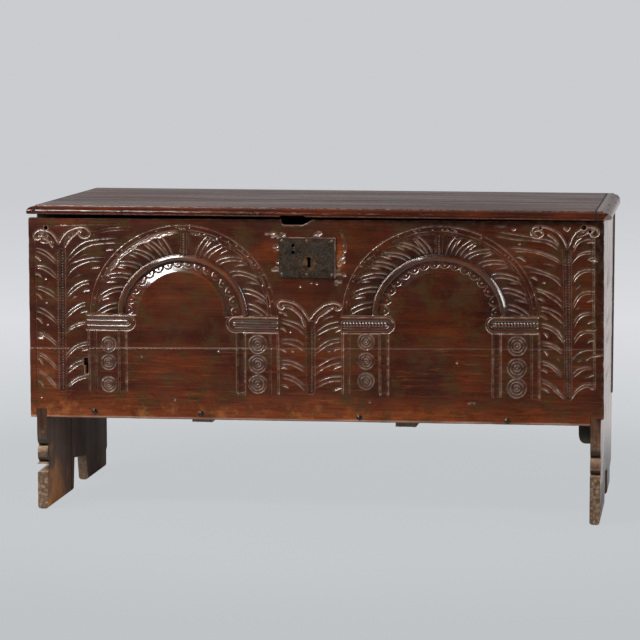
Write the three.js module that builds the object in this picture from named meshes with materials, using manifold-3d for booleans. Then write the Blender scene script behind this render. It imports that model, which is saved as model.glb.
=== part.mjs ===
// A boarded oak coffer chest with slab feet, a plank front, an iron lock and a moulded lid on strap hinges.
// Lengths are in millimetres. X runs along the front, Y from the front to the back, and Z is up.
// Places are measured from the middle of the front board's face at floor level. At the end everything moves
// over, so that the origin is under the middle of the whole chest.

import * as THREE from "three";
import { mergeVertices } from "three/addons/utils/BufferGeometryUtils.js";
import Module from "manifold-3d";

// Gaps
const fitGap = 0.3;
const pinPlay = 0.08;

// Overall sizes
const chestLength = 1200;
const bodyDepth = 540;
const bodyHeight = 625.5;
const lidThickness = 18;

// Front board, two planks that hang a little out of level
const frontThickness = 20;
const frontTopDropLeft = 8.5;
const frontTopDropRight = 2;
const frontBottomLeft = 196;
const frontBottomRight = 205;
const frontRightInTop = 3;
const frontRightOutBottom = 2;
const frontJointShareLeft = 0.349;
const frontJointShareRight = 0.376;
const rightEarBreak = 7;
const rightEarLoss = 11;

// Ends, which run down as the feet
const endThickness = 21;
const leftEndInset = 14;
const rightEndInset = 5;
const shoulderAboveBottomLeft = 19.4;
const shoulderAboveBottomRight = 15.6;
const endJointShare = 0.38;
const notchGap = 0.6;

// Shaped front edge of the feet, as shares of the shoulder's height
const straightShare = 0.76;
const coveControlShare = 0.66;
const upperNickShare = 0.63;
const lowerNickShare = 0.47;
const nickDepth = 13;
const nickHalfHeight = 1.8;
const ledgeDrop = 1.2;
const beadRecess = 4;
const beadShoulder = 6;
const beadDrop = 8;
const footFaceRecess = 1;
const footCorner = 6;

// Cut-out between the feet of one end, with the saw cuts that run past its corners
const cutFrontAtFloorShare = 0.415;
const cutFrontAtTopShare = 0.433;
const cutRearAtTopShare = 0.633;
const cutRearAtFloorShare = 0.657;
const cutTopFrontShare = 0.33;
const cutTopRearShare = 0.27;
const kerfWidth = 1.6;
const kerfRise = 28;
const kerfLean = 6;
const rearFootStepLeft = 9;
const rearFootStepRight = 62;
const rearFootStepHeight = 46;
const rearFootStepSlope = 8;

// Part of the left front foot that split away between two cuts
const splitLowShare = 0.367;
const splitHighShare = 0.45;
const splitInnerDepth = 10;
const splitOuterDepth = 92;
const splitRise = 4;

// Back board
const backThickness = 20;
const backTopDrop = 4.5;
const backBottom = 199;
const backJointShare = 0.48;

// Bottom boards, the battens under them and the strip beside the right end
const bottomThickness = 18;
const bottomUnderside = 203;
const bottomJointShare = 0.496;
const battenWidth = 43;
const battenThickness = 12;
const battenShares = { left: -0.197, right: 0.1604 };
const battenEndInset = 5;
const bearerWidth = 25;
const bearerHeight = 38;
const bearerChamferShare = 0.6;

// Lid
const lidOverLeft = 15.5;
const lidOverRight = 16;
const lidOverFront = 12;
const lidOverRear = 7;
const leftCleatWidth = 18.5;
const rightCleatWidth = 31;
const lidJointShare = 0.435;
const mouldingWidth = 17;
const quirkDrop = 2;
const quirkLand = 1.5;
const noseFlat = 4;
const noseUnder = 3;
const mouldingSteps = 10;
const lidCornerLeft = 6;
const lidCornerRight = 14;
const rearCornerWidth = 24;
const rearCornerLength = 105;
const cornerSteps = 8;

// Recess for the hasp, in the lid and in the top of the front board
const haspX = -39.5;
const haspWidth = 51;
const haspLidDepth = 4;
const haspLidLength = 34;
const haspBoardDepth = 9;
const haspWornWidth = 14;

// Lock
const plateX = -10;
const plateWidth = 118;
const plateHeight = 83.5;
const plateDrop = 42;
const plateThickness = 2;
const keyholeAlong = 4;
const keyholeDrop = 44.5;
const keyholeRadius = 4.2;
const keyholeSlotWidth = 6;
const keyholeSlotLength = 17.4;
const stapleSlotWidth = 6;
const stapleSlotDrop = 14;
const stapleSlotLength = 20.7;
const caseInsetSide = 12;
const caseInsetLow = 16;
const caseInsetHigh = 9.5;
const caseWall = 2;
const caseBehindBoard = 2;
const boltHeight = 8;
const boltThickness = 4;
const boltBehindPlate = 3;
const boltPastSlot = 8.5;
const boltTail = 26;
const talonWidth = 9;
const talonDepth = 2.5;
const guideWidth = 4;
const guideBar = 2.5;
const guideFromSlot = 11.5;
const guideFromKeyhole = 18;
const springThickness = 1.2;
const springWidth = 4;
const springReach = 44;
const springFootFromKeyhole = 30;
const springFootAboveBolt = 7;
const springFootLength = 8;

// Hinges
const hingeShare = 0.317;
const pinRadius = 2.5;
const barrelRadius = 5.5;
const axisBehindBack = 6;
const knuckleSide = 11;
const knuckleMiddle = 13;
const knuckleGap = 0.4;
const strapThickness = 3;
const strapRootWidth = 30;
const strapTipWidth = 18;
const strapLength = 240;
const strapNeck = 9;
const leafWidth = 36;
const leafHeight = 92;
const leafThickness = 3;
const leafMiddleDrop = 7;
const pinHeadRadius = 4;
const pinHeadLength = 2;
const barrelSides = 28;

// Wrought nails
const nailShankHalf = 1.6;
const nailHoleHalf = 1.9;
const roseheadRadius = 6.5;
const roseheadHeight = 3.2;
const roseheadSides = 6;
const plateNailRadius = 3.6;
const plateNailHeight = 1.8;
const plateNailLength = 14;
const bottomNailLength = 38;
const battenNailLength = 22;
const bottomNailShares = [-0.384, -0.195, 0.082, 0.3365];
const plateNailInset = 7;
const battenNailInset = 26;
const battenNailSpread = 28;

// Colours
const darkOak = "#4a2014";
const redOak = "#5a2816";
const lidOak = "#4b3630";
const footOak = "#6a4a34";
const plainOak = "#6b5440";
const darkIron = "#2c2c25";
const oakRough = 0.42;
const plainRough = 0.75;
const ironRough = 0.55;
const ironMetal = 0.8;

// Lines worked out from the sizes
const frontLeft = -chestLength / 2;
const frontRight = chestLength / 2;
const frontRightTop = frontRight - frontRightInTop;
const frontRightFoot = frontRight + frontRightOutBottom;
const leftOuter = frontLeft + leftEndInset;
const leftInner = leftOuter + endThickness;
const rightOuter = frontRight - rightEndInset;
const rightInner = rightOuter - endThickness;
const shoulderLeft = frontBottomLeft + shoulderAboveBottomLeft;
const shoulderRight = frontBottomRight + shoulderAboveBottomRight;
const frontTopLeft = bodyHeight - frontTopDropLeft;
const frontTopRight = bodyHeight - frontTopDropRight;
const jointLeft = THREE.MathUtils.lerp(frontBottomLeft, frontTopLeft, frontJointShareLeft);
const jointRight = THREE.MathUtils.lerp(frontBottomRight, frontTopRight, frontJointShareRight);
const backFront = bodyDepth - backThickness;
const backTop = bodyHeight - backTopDrop;
const backJointZ = THREE.MathUtils.lerp(backBottom, backTop, backJointShare);
const bottomTop = bottomUnderside + bottomThickness;
const lidLeft = leftOuter - lidOverLeft;
const lidRight = rightOuter + lidOverRight;
const lidFront = -lidOverFront;
const lidRear = bodyDepth + lidOverRear;
const lidTop = bodyHeight + lidThickness;
const leftCleatJoint = lidLeft + leftCleatWidth;
const rightCleatJoint = lidRight - rightCleatWidth;
const axisY = bodyDepth + axisBehindBack;
const strapTop = bodyHeight - fitGap;
const axisZ = strapTop - barrelRadius;
const halfBarrel = knuckleMiddle / 2 + knuckleGap + knuckleSide;
const chestRear = axisY + barrelRadius;
const endJointY = bodyDepth * endJointShare;
const lidJointY = bodyDepth * lidJointShare;
const bottomJointY = bodyDepth * bottomJointShare;
const hingeX = chestLength * hingeShare;
const battenMiddles = Object.values(battenShares).map((share) => share * chestLength);
const plateLeft = plateX - plateWidth / 2;
const plateRight = plateX + plateWidth / 2;
const plateTop = bodyHeight - plateDrop;
const plateBottom = plateTop - plateHeight;
const keyholeX = plateX + keyholeAlong;
const keyholeZ = plateTop - keyholeDrop;
const stapleSlotTop = plateTop - stapleSlotDrop;
const stapleSlotBottom = stapleSlotTop - stapleSlotLength;
const caseLeft = plateLeft + caseInsetSide;
const caseRight = plateRight - caseInsetSide;
const caseBottom = plateBottom + caseInsetLow;
const caseTop = plateTop - caseInsetHigh;
const boltTipLeft = haspX - stapleSlotWidth / 2 - boltPastSlot;
const boltRight = keyholeX + boltTail;
const boltBottom = (stapleSlotTop + stapleSlotBottom - boltHeight) / 2;
const boltTop = boltBottom + boltHeight;
const moveOver = new THREE.Vector3(-(lidLeft + lidRight) / 2, -(lidFront + chestRear) / 2, 0);

const wasm = await Module();
wasm.setup();
const chest = new THREE.Group();

// The solid that a closed geometry describes.
function solidOf(geometry) {
  const bare = geometry.clone();
  bare.deleteAttribute("normal");
  bare.deleteAttribute("uv");
  const merged = mergeVertices(bare);
  const triVerts = new Uint32Array(merged.index.array);
  const vertProperties = new Float32Array(merged.attributes.position.array);
  return new wasm.Manifold(new wasm.Mesh({ numProp: 3, vertProperties, triVerts }));
}

// The geometry of a solid.
function geometryOf(solid) {
  const mesh = solid.getMesh();
  const geometry = new THREE.BufferGeometry();
  geometry.setAttribute("position", new THREE.BufferAttribute(mesh.vertProperties, 3));
  geometry.setIndex(new THREE.BufferAttribute(mesh.triVerts, 1));
  geometry.computeVertexNormals();
  return geometry;
}

// What is left of a geometry once the others are cut out of it.
function cut(geometry, ...others) {
  let solid = solidOf(geometry);
  for (const other of others) {
    solid = solid.subtract(solidOf(other));
  }
  return geometryOf(solid);
}

// Several geometries as one.
function join(geometry, ...others) {
  let solid = solidOf(geometry);
  for (const other of others) {
    solid = solid.add(solidOf(other));
  }
  return geometryOf(solid);
}

// What several geometries have in common.
function common(geometry, ...others) {
  let solid = solidOf(geometry);
  for (const other of others) {
    solid = solid.intersect(solidOf(other));
  }
  return geometryOf(solid);
}

// A closed outline from a list of points.
function outline(points) {
  return new THREE.Shape(points.map(([across, up]) => new THREE.Vector2(across, up)));
}

// An outline drawn in X and Z, carried back from one Y to another.
function carriedBack(shape, fromY, toY, curveSegments = cornerSteps) {
  const depth = toY - fromY;
  const geometry = new THREE.ExtrudeGeometry(shape, { depth, bevelEnabled: false, curveSegments });
  geometry.rotateX(Math.PI / 2);
  geometry.translate(0, toY, 0);
  return geometry;
}

// An outline drawn in Y and Z, carried along from one X to another.
function carriedAlong(shape, fromX, toX, curveSegments = cornerSteps) {
  const depth = toX - fromX;
  const geometry = new THREE.ExtrudeGeometry(shape, { depth, bevelEnabled: false, curveSegments });
  const turn = new THREE.Matrix4().makeBasis(
    new THREE.Vector3(0, 1, 0),
    new THREE.Vector3(0, 0, 1),
    new THREE.Vector3(1, 0, 0),
  );
  geometry.applyMatrix4(turn);
  geometry.translate(fromX, 0, 0);
  return geometry;
}

// An outline drawn in X and Y, carried up from one Z to another.
function carriedUp(shape, fromZ, toZ, curveSegments = cornerSteps) {
  const depth = toZ - fromZ;
  const geometry = new THREE.ExtrudeGeometry(shape, { depth, bevelEnabled: false, curveSegments });
  geometry.translate(0, 0, fromZ);
  return geometry;
}

// A box between two corners.
function block(x0, x1, y0, y1, z0, z1) {
  const geometry = new THREE.BoxGeometry(x1 - x0, y1 - y0, z1 - z0);
  geometry.translate((x0 + x1) / 2, (y0 + y1) / 2, (z0 + z1) / 2);
  return geometry;
}

// A round bar along X, centred at a place.
function barAlongX(radius, length, x, y, z, sides = barrelSides) {
  const geometry = new THREE.CylinderGeometry(radius, radius, length, sides);
  geometry.rotateZ(Math.PI / 2);
  geometry.translate(x, y, z);
  return geometry;
}

// Adds one named piece to the chest.
function addPiece(name, geometry, color, roughness, metalness = 0) {
  const mesh = new THREE.Mesh(geometry, new THREE.MeshStandardMaterial({ color, roughness, metalness }));
  mesh.name = name;
  mesh.position.copy(moveOver);
  chest.add(mesh);
}

// The height on a line from the front board's left end to its right end.
function onLine(leftZ, rightZ, x) {
  return THREE.MathUtils.mapLinear(x, frontLeft, frontRight, leftZ, rightZ);
}

// A nail that points along +Y: a faceted head in front of the place, and a square tapering shank behind it.
function nailBack(x, y, z, headRadius, headHeight, length) {
  const head = new THREE.CylinderGeometry(headRadius, headRadius / 4, headHeight, roseheadSides);
  head.translate(0, -headHeight / 2, 0);
  const corner = nailShankHalf * Math.SQRT2;
  const shankLength = length + headHeight / 2;
  const shank = new THREE.CylinderGeometry(corner / 4, corner, shankLength, 4);
  shank.rotateY(Math.PI / 4);
  shank.translate(0, length - shankLength / 2, 0);
  const nail = join(head, shank);
  nail.translate(x, y, z);
  return nail;
}

// The square hole that such a nail goes in.
function nailHoleBack(x, z, fromY, length) {
  return block(x - nailHoleHalf, x + nailHoleHalf, fromY, fromY + length, z - nailHoleHalf, z + nailHoleHalf);
}

// Places of the nails along the front's bottom edge, in the middle of the bottom boards' thickness
function bottomNailPlaces() {
  return bottomNailShares.map((share) => [share * chestLength, (bottomUnderside + bottomTop) / 2]);
}

// Places of the nails around the lock plate
function plateNailPlaces() {
  const middle = (plateLeft + plateRight) / 2;
  const places = [];
  for (const z of [plateBottom + plateNailInset, plateTop - plateNailInset]) {
    for (const x of [plateLeft + plateNailInset, middle, plateRight - plateNailInset]) {
      places.push([x, z]);
    }
  }
  return places;
}

// Places of the nails under the battens
function battenNailPlaces(middleX) {
  const places = [];
  for (const y of [frontThickness + battenNailInset, backFront - battenNailInset]) {
    for (const x of [middleX - battenNailSpread / 2, middleX + battenNailSpread / 2]) {
      places.push([x, y]);
    }
  }
  return places;
}

// The upper front plank, with the worn hasp recess in its top edge, the lock's opening and nail holes.
function upperFrontPlank() {
  const jointUp = fitGap / 2;
  const haspLeft = haspX - haspWidth / 2;
  const haspRight = haspX + haspWidth / 2;
  const haspFloor = onLine(frontTopLeft, frontTopRight, haspX) - haspBoardDepth;
  const shape = outline([
    [frontLeft, jointLeft + jointUp],
    [frontRight, jointRight + jointUp],
    [frontRightTop, frontTopRight],
    [haspRight + haspWornWidth, onLine(frontTopLeft, frontTopRight, haspRight + haspWornWidth)],
    [haspRight, haspFloor],
    [haspLeft, haspFloor],
    [haspLeft, onLine(frontTopLeft, frontTopRight, haspLeft)],
    [frontLeft, frontTopLeft],
  ]);
  const opening = block(
    caseLeft - fitGap,
    caseRight + fitGap,
    -fitGap,
    frontThickness + fitGap,
    caseBottom - fitGap,
    caseTop + fitGap,
  );
  const holes = plateNailPlaces().map(([x, z]) => nailHoleBack(x, z, -fitGap, plateNailLength + 2 * fitGap));
  return cut(carriedBack(shape, 0, frontThickness), opening, ...holes);
}

// The lower front plank, notched over the feet, with its right ear broken short.
function lowerFrontPlank() {
  const jointDown = fitGap / 2;
  const bottomAt = (x) => onLine(frontBottomLeft, frontBottomRight, x);
  const shape = outline([
    [frontLeft, bottomAt(frontLeft)],
    [leftOuter - notchGap, bottomAt(leftOuter)],
    [leftOuter - notchGap, shoulderLeft],
    [leftInner + notchGap, shoulderLeft],
    [leftInner + notchGap, bottomAt(leftInner)],
    [rightInner - notchGap, bottomAt(rightInner)],
    [rightInner - notchGap, shoulderRight],
    [rightOuter + notchGap, shoulderRight],
    [rightOuter + notchGap, shoulderRight - rightEarBreak / 2],
    [frontRightFoot, bottomAt(frontRight) + rightEarLoss + rightEarBreak],
    [frontRight, jointRight - jointDown],
    [frontLeft, jointLeft - jointDown],
  ]);
  const throughBoard = frontThickness + 2 * fitGap;
  const holes = bottomNailPlaces().map(([x, z]) => nailHoleBack(x, z, -fitGap, throughBoard));
  return cut(carriedBack(shape, 0, frontThickness), ...holes);
}

// Draws the shaped front edge of a foot, from its shoulder down to the floor.
function drawFootEdge(shape, shoulder) {
  const upperNick = shoulder * upperNickShare;
  const lowerNick = shoulder * lowerNickShare;
  const ledge = upperNick - nickHalfHeight - ledgeDrop;
  const beadEnd = lowerNick + nickHalfHeight + beadDrop;
  const beadMiddle = (ledge + beadEnd) / 2;
  shape.lineTo(0, shoulder);
  shape.lineTo(0, shoulder * straightShare);
  shape.quadraticCurveTo(0, shoulder * coveControlShare, nickDepth, upperNick + nickHalfHeight);
  shape.lineTo(nickDepth, upperNick - nickHalfHeight);
  shape.lineTo(beadShoulder, ledge);
  shape.quadraticCurveTo(beadRecess - beadShoulder / 2, beadMiddle, beadRecess, beadEnd);
  shape.quadraticCurveTo(beadShoulder, lowerNick + beadDrop / 2, nickDepth, lowerNick + nickHalfHeight);
  shape.lineTo(nickDepth, lowerNick - nickHalfHeight);
  shape.lineTo(footFaceRecess, lowerNick - nickHalfHeight - ledgeDrop);
  shape.lineTo(footFaceRecess, footCorner);
  shape.quadraticCurveTo(footFaceRecess, 0, footFaceRecess + footCorner, 0);
}

// The front plank of an end, shaped in front. It stands behind the front board down to the shoulder.
function endFrontPlank(outerX, innerX, shoulder) {
  const behindFront = frontThickness + fitGap;
  const jointFront = endJointY - fitGap / 2;
  const shape = new THREE.Shape();
  shape.moveTo(behindFront, bodyHeight - fitGap);
  shape.lineTo(behindFront, shoulder - fitGap);
  drawFootEdge(shape, shoulder - fitGap);
  shape.lineTo(jointFront, 0);
  shape.lineTo(jointFront, bodyHeight - fitGap);
  shape.closePath();
  return carriedAlong(shape, Math.min(outerX, innerX), Math.max(outerX, innerX));
}

// The piece that split away from the left front foot: a wedge along the grain between two cuts.
function splitWedge() {
  const splitLow = shoulderLeft * splitLowShare;
  const splitHigh = shoulderLeft * splitHighShare;
  const plan = outline([
    [leftOuter - fitGap, -fitGap],
    [leftInner + fitGap, -fitGap],
    [leftInner + fitGap, splitInnerDepth],
    [leftOuter - fitGap, splitOuterDepth],
  ]);
  const side = outline([
    [-fitGap, splitLow],
    [splitOuterDepth, splitLow + splitRise],
    [splitOuterDepth, splitHigh - splitRise],
    [-fitGap, splitHigh],
  ]);
  const wedge = carriedUp(plan, splitLow - splitRise, splitHigh + splitRise);
  return common(wedge, carriedAlong(side, leftOuter - 2 * fitGap, leftInner + 2 * fitGap));
}

// The rear plank of an end, with the cut-out between the feet and the step at the foot's heel.
function endRearPlank(outerX, innerX, shoulder, heelStep) {
  const cutTopFront = shoulder * cutTopFrontShare;
  const cutTopRear = shoulder * cutTopRearShare;
  const jointRear = endJointY + fitGap / 2;
  const beforeBack = backFront - fitGap;
  const top = bodyHeight - fitGap;
  const shape = outline([
    [jointRear, 0],
    [bodyDepth * cutFrontAtFloorShare, 0],
    [bodyDepth * cutFrontAtTopShare, cutTopFront],
    [bodyDepth * cutRearAtTopShare, cutTopRear],
    [bodyDepth * cutRearAtFloorShare, 0],
    [bodyDepth - heelStep, 0],
    [bodyDepth - heelStep, rearFootStepHeight - rearFootStepSlope],
    [bodyDepth, rearFootStepHeight],
    [bodyDepth, backBottom - fitGap],
    [beforeBack, backBottom - fitGap],
    [beforeBack, top],
    [jointRear, top],
  ]);
  const low = Math.min(outerX, innerX);
  const high = Math.max(outerX, innerX);
  const kerf = (y, z, lean) =>
    carriedAlong(
      outline([
        [y - kerfWidth, z - kerfWidth],
        [y + kerfWidth, z - kerfWidth],
        [y + lean + kerfWidth / 2, z + kerfRise],
        [y + lean - kerfWidth / 2, z + kerfRise],
      ]),
      low - fitGap,
      high + fitGap,
    );
  const frontKerf = kerf(bodyDepth * cutFrontAtTopShare + kerfWidth, cutTopFront, kerfLean);
  const rearKerf = kerf(bodyDepth * cutRearAtTopShare - kerfWidth, cutTopRear, -kerfLean);
  return cut(carriedAlong(shape, low, high), frontKerf, rearKerf);
}

// A back plank between two heights.
function backPlank(fromZ, toZ) {
  return block(frontLeft, frontRight, backFront, bodyDepth, fromZ, toZ);
}

// A bottom board between two Y lines, with holes for the nails that enter it.
function bottomBoard(fromY, toY, holes) {
  const board = block(leftInner + fitGap, rightInner - fitGap, fromY, toY, bottomUnderside, bottomTop);
  return cut(board, ...holes);
}

// An upright square nail hole, from one height to another.
function nailHoleUp(x, y, fromZ, toZ) {
  return block(x - nailHoleHalf, x + nailHoleHalf, y - nailHoleHalf, y + nailHoleHalf, fromZ, toZ);
}

// The holes that the batten nails need between two heights and two Y lines.
function battenHoles(middles, fromY, toY, fromZ, toZ) {
  const places = middles.flatMap((x) => battenNailPlaces(x)).filter(([, y]) => y > fromY && y < toY);
  return places.map(([x, y]) => nailHoleUp(x, y, fromZ, toZ));
}

// The moulded edge of the lid as outline points, from the top inwards of the edge to the underside.
// They run outwards from the quirk along a rounded nose. edge is the outermost line and inward its sign.
function mouldingPoints(edge, inward) {
  const points = [];
  const halfWidth = mouldingWidth - quirkLand;
  const halfHeight = lidThickness - quirkDrop - noseFlat;
  points.push([edge + inward * mouldingWidth, lidTop]);
  points.push([edge + inward * mouldingWidth, lidTop - quirkDrop]);
  for (let step = 0; step <= mouldingSteps; step += 1) {
    const turn = ((step / mouldingSteps) * Math.PI) / 2;
    const across = halfWidth * (1 - Math.sin(turn));
    const down = halfHeight * (1 - Math.cos(turn));
    points.push([edge + inward * across, lidTop - quirkDrop - down]);
  }
  points.push([edge, bodyHeight + noseFlat / 2]);
  points.push([edge + inward * noseUnder, bodyHeight]);
  return points;
}

// The lid seen from above, with its worn corners.
function lidPlan() {
  const shape = new THREE.Shape();
  shape.moveTo(lidLeft + lidCornerLeft, lidFront);
  shape.lineTo(lidRight - lidCornerRight, lidFront);
  shape.quadraticCurveTo(lidRight, lidFront, lidRight, lidFront + lidCornerRight);
  shape.lineTo(lidRight, lidRear - rearCornerLength);
  shape.quadraticCurveTo(lidRight, lidRear, lidRight - rearCornerWidth, lidRear);
  shape.lineTo(lidLeft + lidCornerLeft, lidRear);
  shape.quadraticCurveTo(lidLeft, lidRear, lidLeft, lidRear - lidCornerLeft);
  shape.lineTo(lidLeft, lidFront + lidCornerLeft);
  shape.quadraticCurveTo(lidLeft, lidFront, lidLeft + lidCornerLeft, lidFront);
  return carriedUp(shape, bodyHeight - fitGap, lidTop + fitGap);
}

// The whole lid as one block: front and side mouldings that meet at the corners.
function lidBlock() {
  const alongFront = outline([[lidRear, bodyHeight], [lidRear, lidTop], ...mouldingPoints(lidFront, 1)]);
  const alongSides = outline([
    ...mouldingPoints(lidLeft, 1).reverse(),
    ...mouldingPoints(lidRight, -1),
  ]);
  const front = carriedAlong(alongFront, lidLeft - fitGap, lidRight + fitGap);
  const sides = carriedBack(alongSides, lidFront - fitGap, lidRear + fitGap);
  return common(front, sides, lidPlan());
}

// The hasp recess under the lid's front edge.
function haspRecess() {
  return block(
    haspX - haspWidth / 2,
    haspX + haspWidth / 2,
    lidFront - fitGap,
    lidFront + haspLidLength,
    bodyHeight - fitGap,
    bodyHeight + haspLidDepth,
  );
}

// One board of the lid, cut from the whole block between two X and two Y lines.
function lidPiece(whole, fromX, toX, fromY, toY, ...cuts) {
  const part = block(fromX, toX, fromY, toY, bodyHeight - fitGap, lidTop + fitGap);
  return cut(common(whole, part), ...cuts);
}

// The lock plate, with its keyhole, staple slot and nail holes.
function lockPlate() {
  const front = -fitGap - plateThickness;
  const plate = block(plateLeft, plateRight, front, -fitGap, plateBottom, plateTop);
  const keyRound = new THREE.CylinderGeometry(keyholeRadius, keyholeRadius, 4 * plateThickness, barrelSides);
  keyRound.translate(keyholeX, -fitGap, keyholeZ);
  const halfSlot = keyholeSlotWidth / 2;
  const keySlot = block(
    keyholeX - halfSlot,
    keyholeX + halfSlot,
    front - fitGap,
    0,
    keyholeZ - keyholeSlotLength,
    keyholeZ,
  );
  const halfStaple = stapleSlotWidth / 2;
  const stapleSlot = block(
    haspX - halfStaple,
    haspX + halfStaple,
    front - fitGap,
    0,
    stapleSlotBottom,
    stapleSlotTop,
  );
  const through = plateThickness + 2 * fitGap;
  const holes = plateNailPlaces().map(([x, z]) => nailHoleBack(x, z, front - fitGap, through));
  return cut(plate, keyRound, keySlot, stapleSlot, ...holes);
}

// The iron box behind the plate, open towards it.
function lockCase() {
  const back = frontThickness + caseBehindBoard;
  const outside = block(caseLeft, caseRight, fitGap, back, caseBottom, caseTop);
  const inside = block(
    caseLeft + caseWall,
    caseRight - caseWall,
    0,
    back - caseWall,
    caseBottom + caseWall,
    caseTop - caseWall,
  );
  return cut(outside, inside);
}

// The sliding bolt, with the notch that the key's bit pushes.
function lockBolt() {
  const shape = outline([
    [boltTipLeft, boltBottom],
    [keyholeX, boltBottom],
    [keyholeX, boltBottom + talonDepth],
    [keyholeX + talonWidth, boltBottom + talonDepth],
    [keyholeX + talonWidth, boltBottom],
    [boltRight, boltBottom],
    [boltRight, boltTop],
    [boltTipLeft, boltTop],
  ]);
  return carriedBack(shape, boltBehindPlate, boltBehindPlate + boltThickness);
}

// A staple on the back of the plate that the bolt slides in.
function boltGuide(x) {
  const low = boltBottom - fitGap - guideBar;
  const high = boltTop + fitGap + guideBar;
  const back = boltBehindPlate + boltThickness + fitGap + guideBar;
  const outside = block(x - guideWidth / 2, x + guideWidth / 2, 0, back, low, high);
  const inside = block(
    x - guideWidth,
    x + guideWidth,
    -fitGap,
    boltBehindPlate + boltThickness + fitGap,
    low + guideBar,
    high - guideBar,
  );
  return cut(outside, inside);
}

// The leaf spring that presses on the bolt, fixed by its foot to the plate.
function boltSpring() {
  const footX = keyholeX + springFootFromKeyhole;
  const footZ = boltTop + springFootAboveBolt;
  const tipX = footX - springReach;
  const tipZ = boltTop + fitGap;
  const middleX = (footX + tipX) / 2;
  const shape = new THREE.Shape();
  shape.moveTo(footX, footZ);
  shape.quadraticCurveTo(middleX, footZ, tipX, tipZ);
  shape.lineTo(tipX, tipZ + springThickness);
  shape.quadraticCurveTo(middleX, footZ + springThickness, footX, footZ + springThickness);
  shape.closePath();
  const springBack = boltBehindPlate + springWidth;
  const leaf = carriedBack(shape, boltBehindPlate, springBack);
  const footStart = footX - springThickness;
  const foot = block(footStart, footStart + springFootLength, 0, springBack, footZ, footZ + springThickness);
  return join(leaf, foot);
}

// The hinge strap under the lid: an eye around the pin and a long tapering strap with a round end.
function hingeStrap(x) {
  const rootY = axisY - strapNeck;
  const tipY = rootY - strapLength;
  const halfNeck = knuckleMiddle / 2;
  const halfRoot = strapRootWidth / 2;
  const halfTip = strapTipWidth / 2;
  const shape = new THREE.Shape();
  shape.moveTo(x - halfNeck, axisY);
  shape.lineTo(x - halfNeck, rootY);
  shape.lineTo(x - halfRoot, rootY - halfNeck);
  shape.lineTo(x - halfTip, tipY);
  shape.absarc(x, tipY, halfTip, Math.PI, 2 * Math.PI, false);
  shape.lineTo(x + halfRoot, rootY - halfNeck);
  shape.lineTo(x + halfNeck, rootY);
  shape.lineTo(x + halfNeck, axisY);
  shape.closePath();
  const strap = carriedUp(shape, strapTop - strapThickness, strapTop);
  const eye = barAlongX(barrelRadius, knuckleMiddle, x, axisY, axisZ);
  const hole = barAlongX(pinRadius + pinPlay, 2 * knuckleMiddle, x, axisY, axisZ);
  return cut(join(strap, eye), hole);
}

// The hinge plate on the back: a leaf with a knuckle on each side of the strap's eye.
function hingePlate(x) {
  const leafFront = bodyDepth + fitGap;
  const leafTop = axisZ;
  const leaf = block(
    x - leafWidth / 2,
    x + leafWidth / 2,
    leafFront,
    leafFront + leafThickness,
    leafTop - leafHeight,
    leafTop,
  );
  const middle = knuckleMiddle / 2 + knuckleGap;
  const gap = block(
    x - middle,
    x + middle,
    leafFront - fitGap,
    chestRear + fitGap,
    leafTop - leafMiddleDrop,
    leafTop + barrelRadius + fitGap,
  );
  const knuckles = [-1, 1].map((side) =>
    barAlongX(barrelRadius, knuckleSide, x + side * (middle + knuckleSide / 2), axisY, axisZ),
  );
  const hole = barAlongX(pinRadius + fitGap, 2 * leafWidth, x, axisY, axisZ);
  return cut(join(leaf, ...knuckles), gap, hole);
}

// The hinge pin with a head at each end.
function hingePin(x) {
  const length = 2 * halfBarrel + 2 * fitGap;
  const shaft = barAlongX(pinRadius, length + pinHeadLength, x, axisY, axisZ);
  const heads = [-1, 1].map((side) =>
    barAlongX(pinHeadRadius, pinHeadLength, x + (side * (length + pinHeadLength)) / 2, axisY, axisZ),
  );
  return join(shaft, ...heads);
}

// The carcass
addPiece("front_board_upper", upperFrontPlank(), darkOak, oakRough);
addPiece("front_board_lower", lowerFrontPlank(), redOak, oakRough);
addPiece("back_board_upper", backPlank(backJointZ + fitGap / 2, backTop), plainOak, plainRough);
addPiece("back_board_lower", backPlank(backBottom, backJointZ - fitGap / 2), plainOak, plainRough);
const leftFrontPlank = cut(endFrontPlank(leftOuter, leftInner, shoulderLeft), splitWedge());
addPiece("end_left_front", leftFrontPlank, footOak, plainRough);
const leftRearPlank = endRearPlank(leftOuter, leftInner, shoulderLeft, rearFootStepLeft);
addPiece("end_left_rear", leftRearPlank, footOak, plainRough);
addPiece("end_right_front", endFrontPlank(rightInner, rightOuter, shoulderRight), footOak, plainRough);
const rightRearPlank = endRearPlank(rightInner, rightOuter, shoulderRight, rearFootStepRight);
addPiece("end_right_rear", rightRearPlank, footOak, plainRough);

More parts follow.
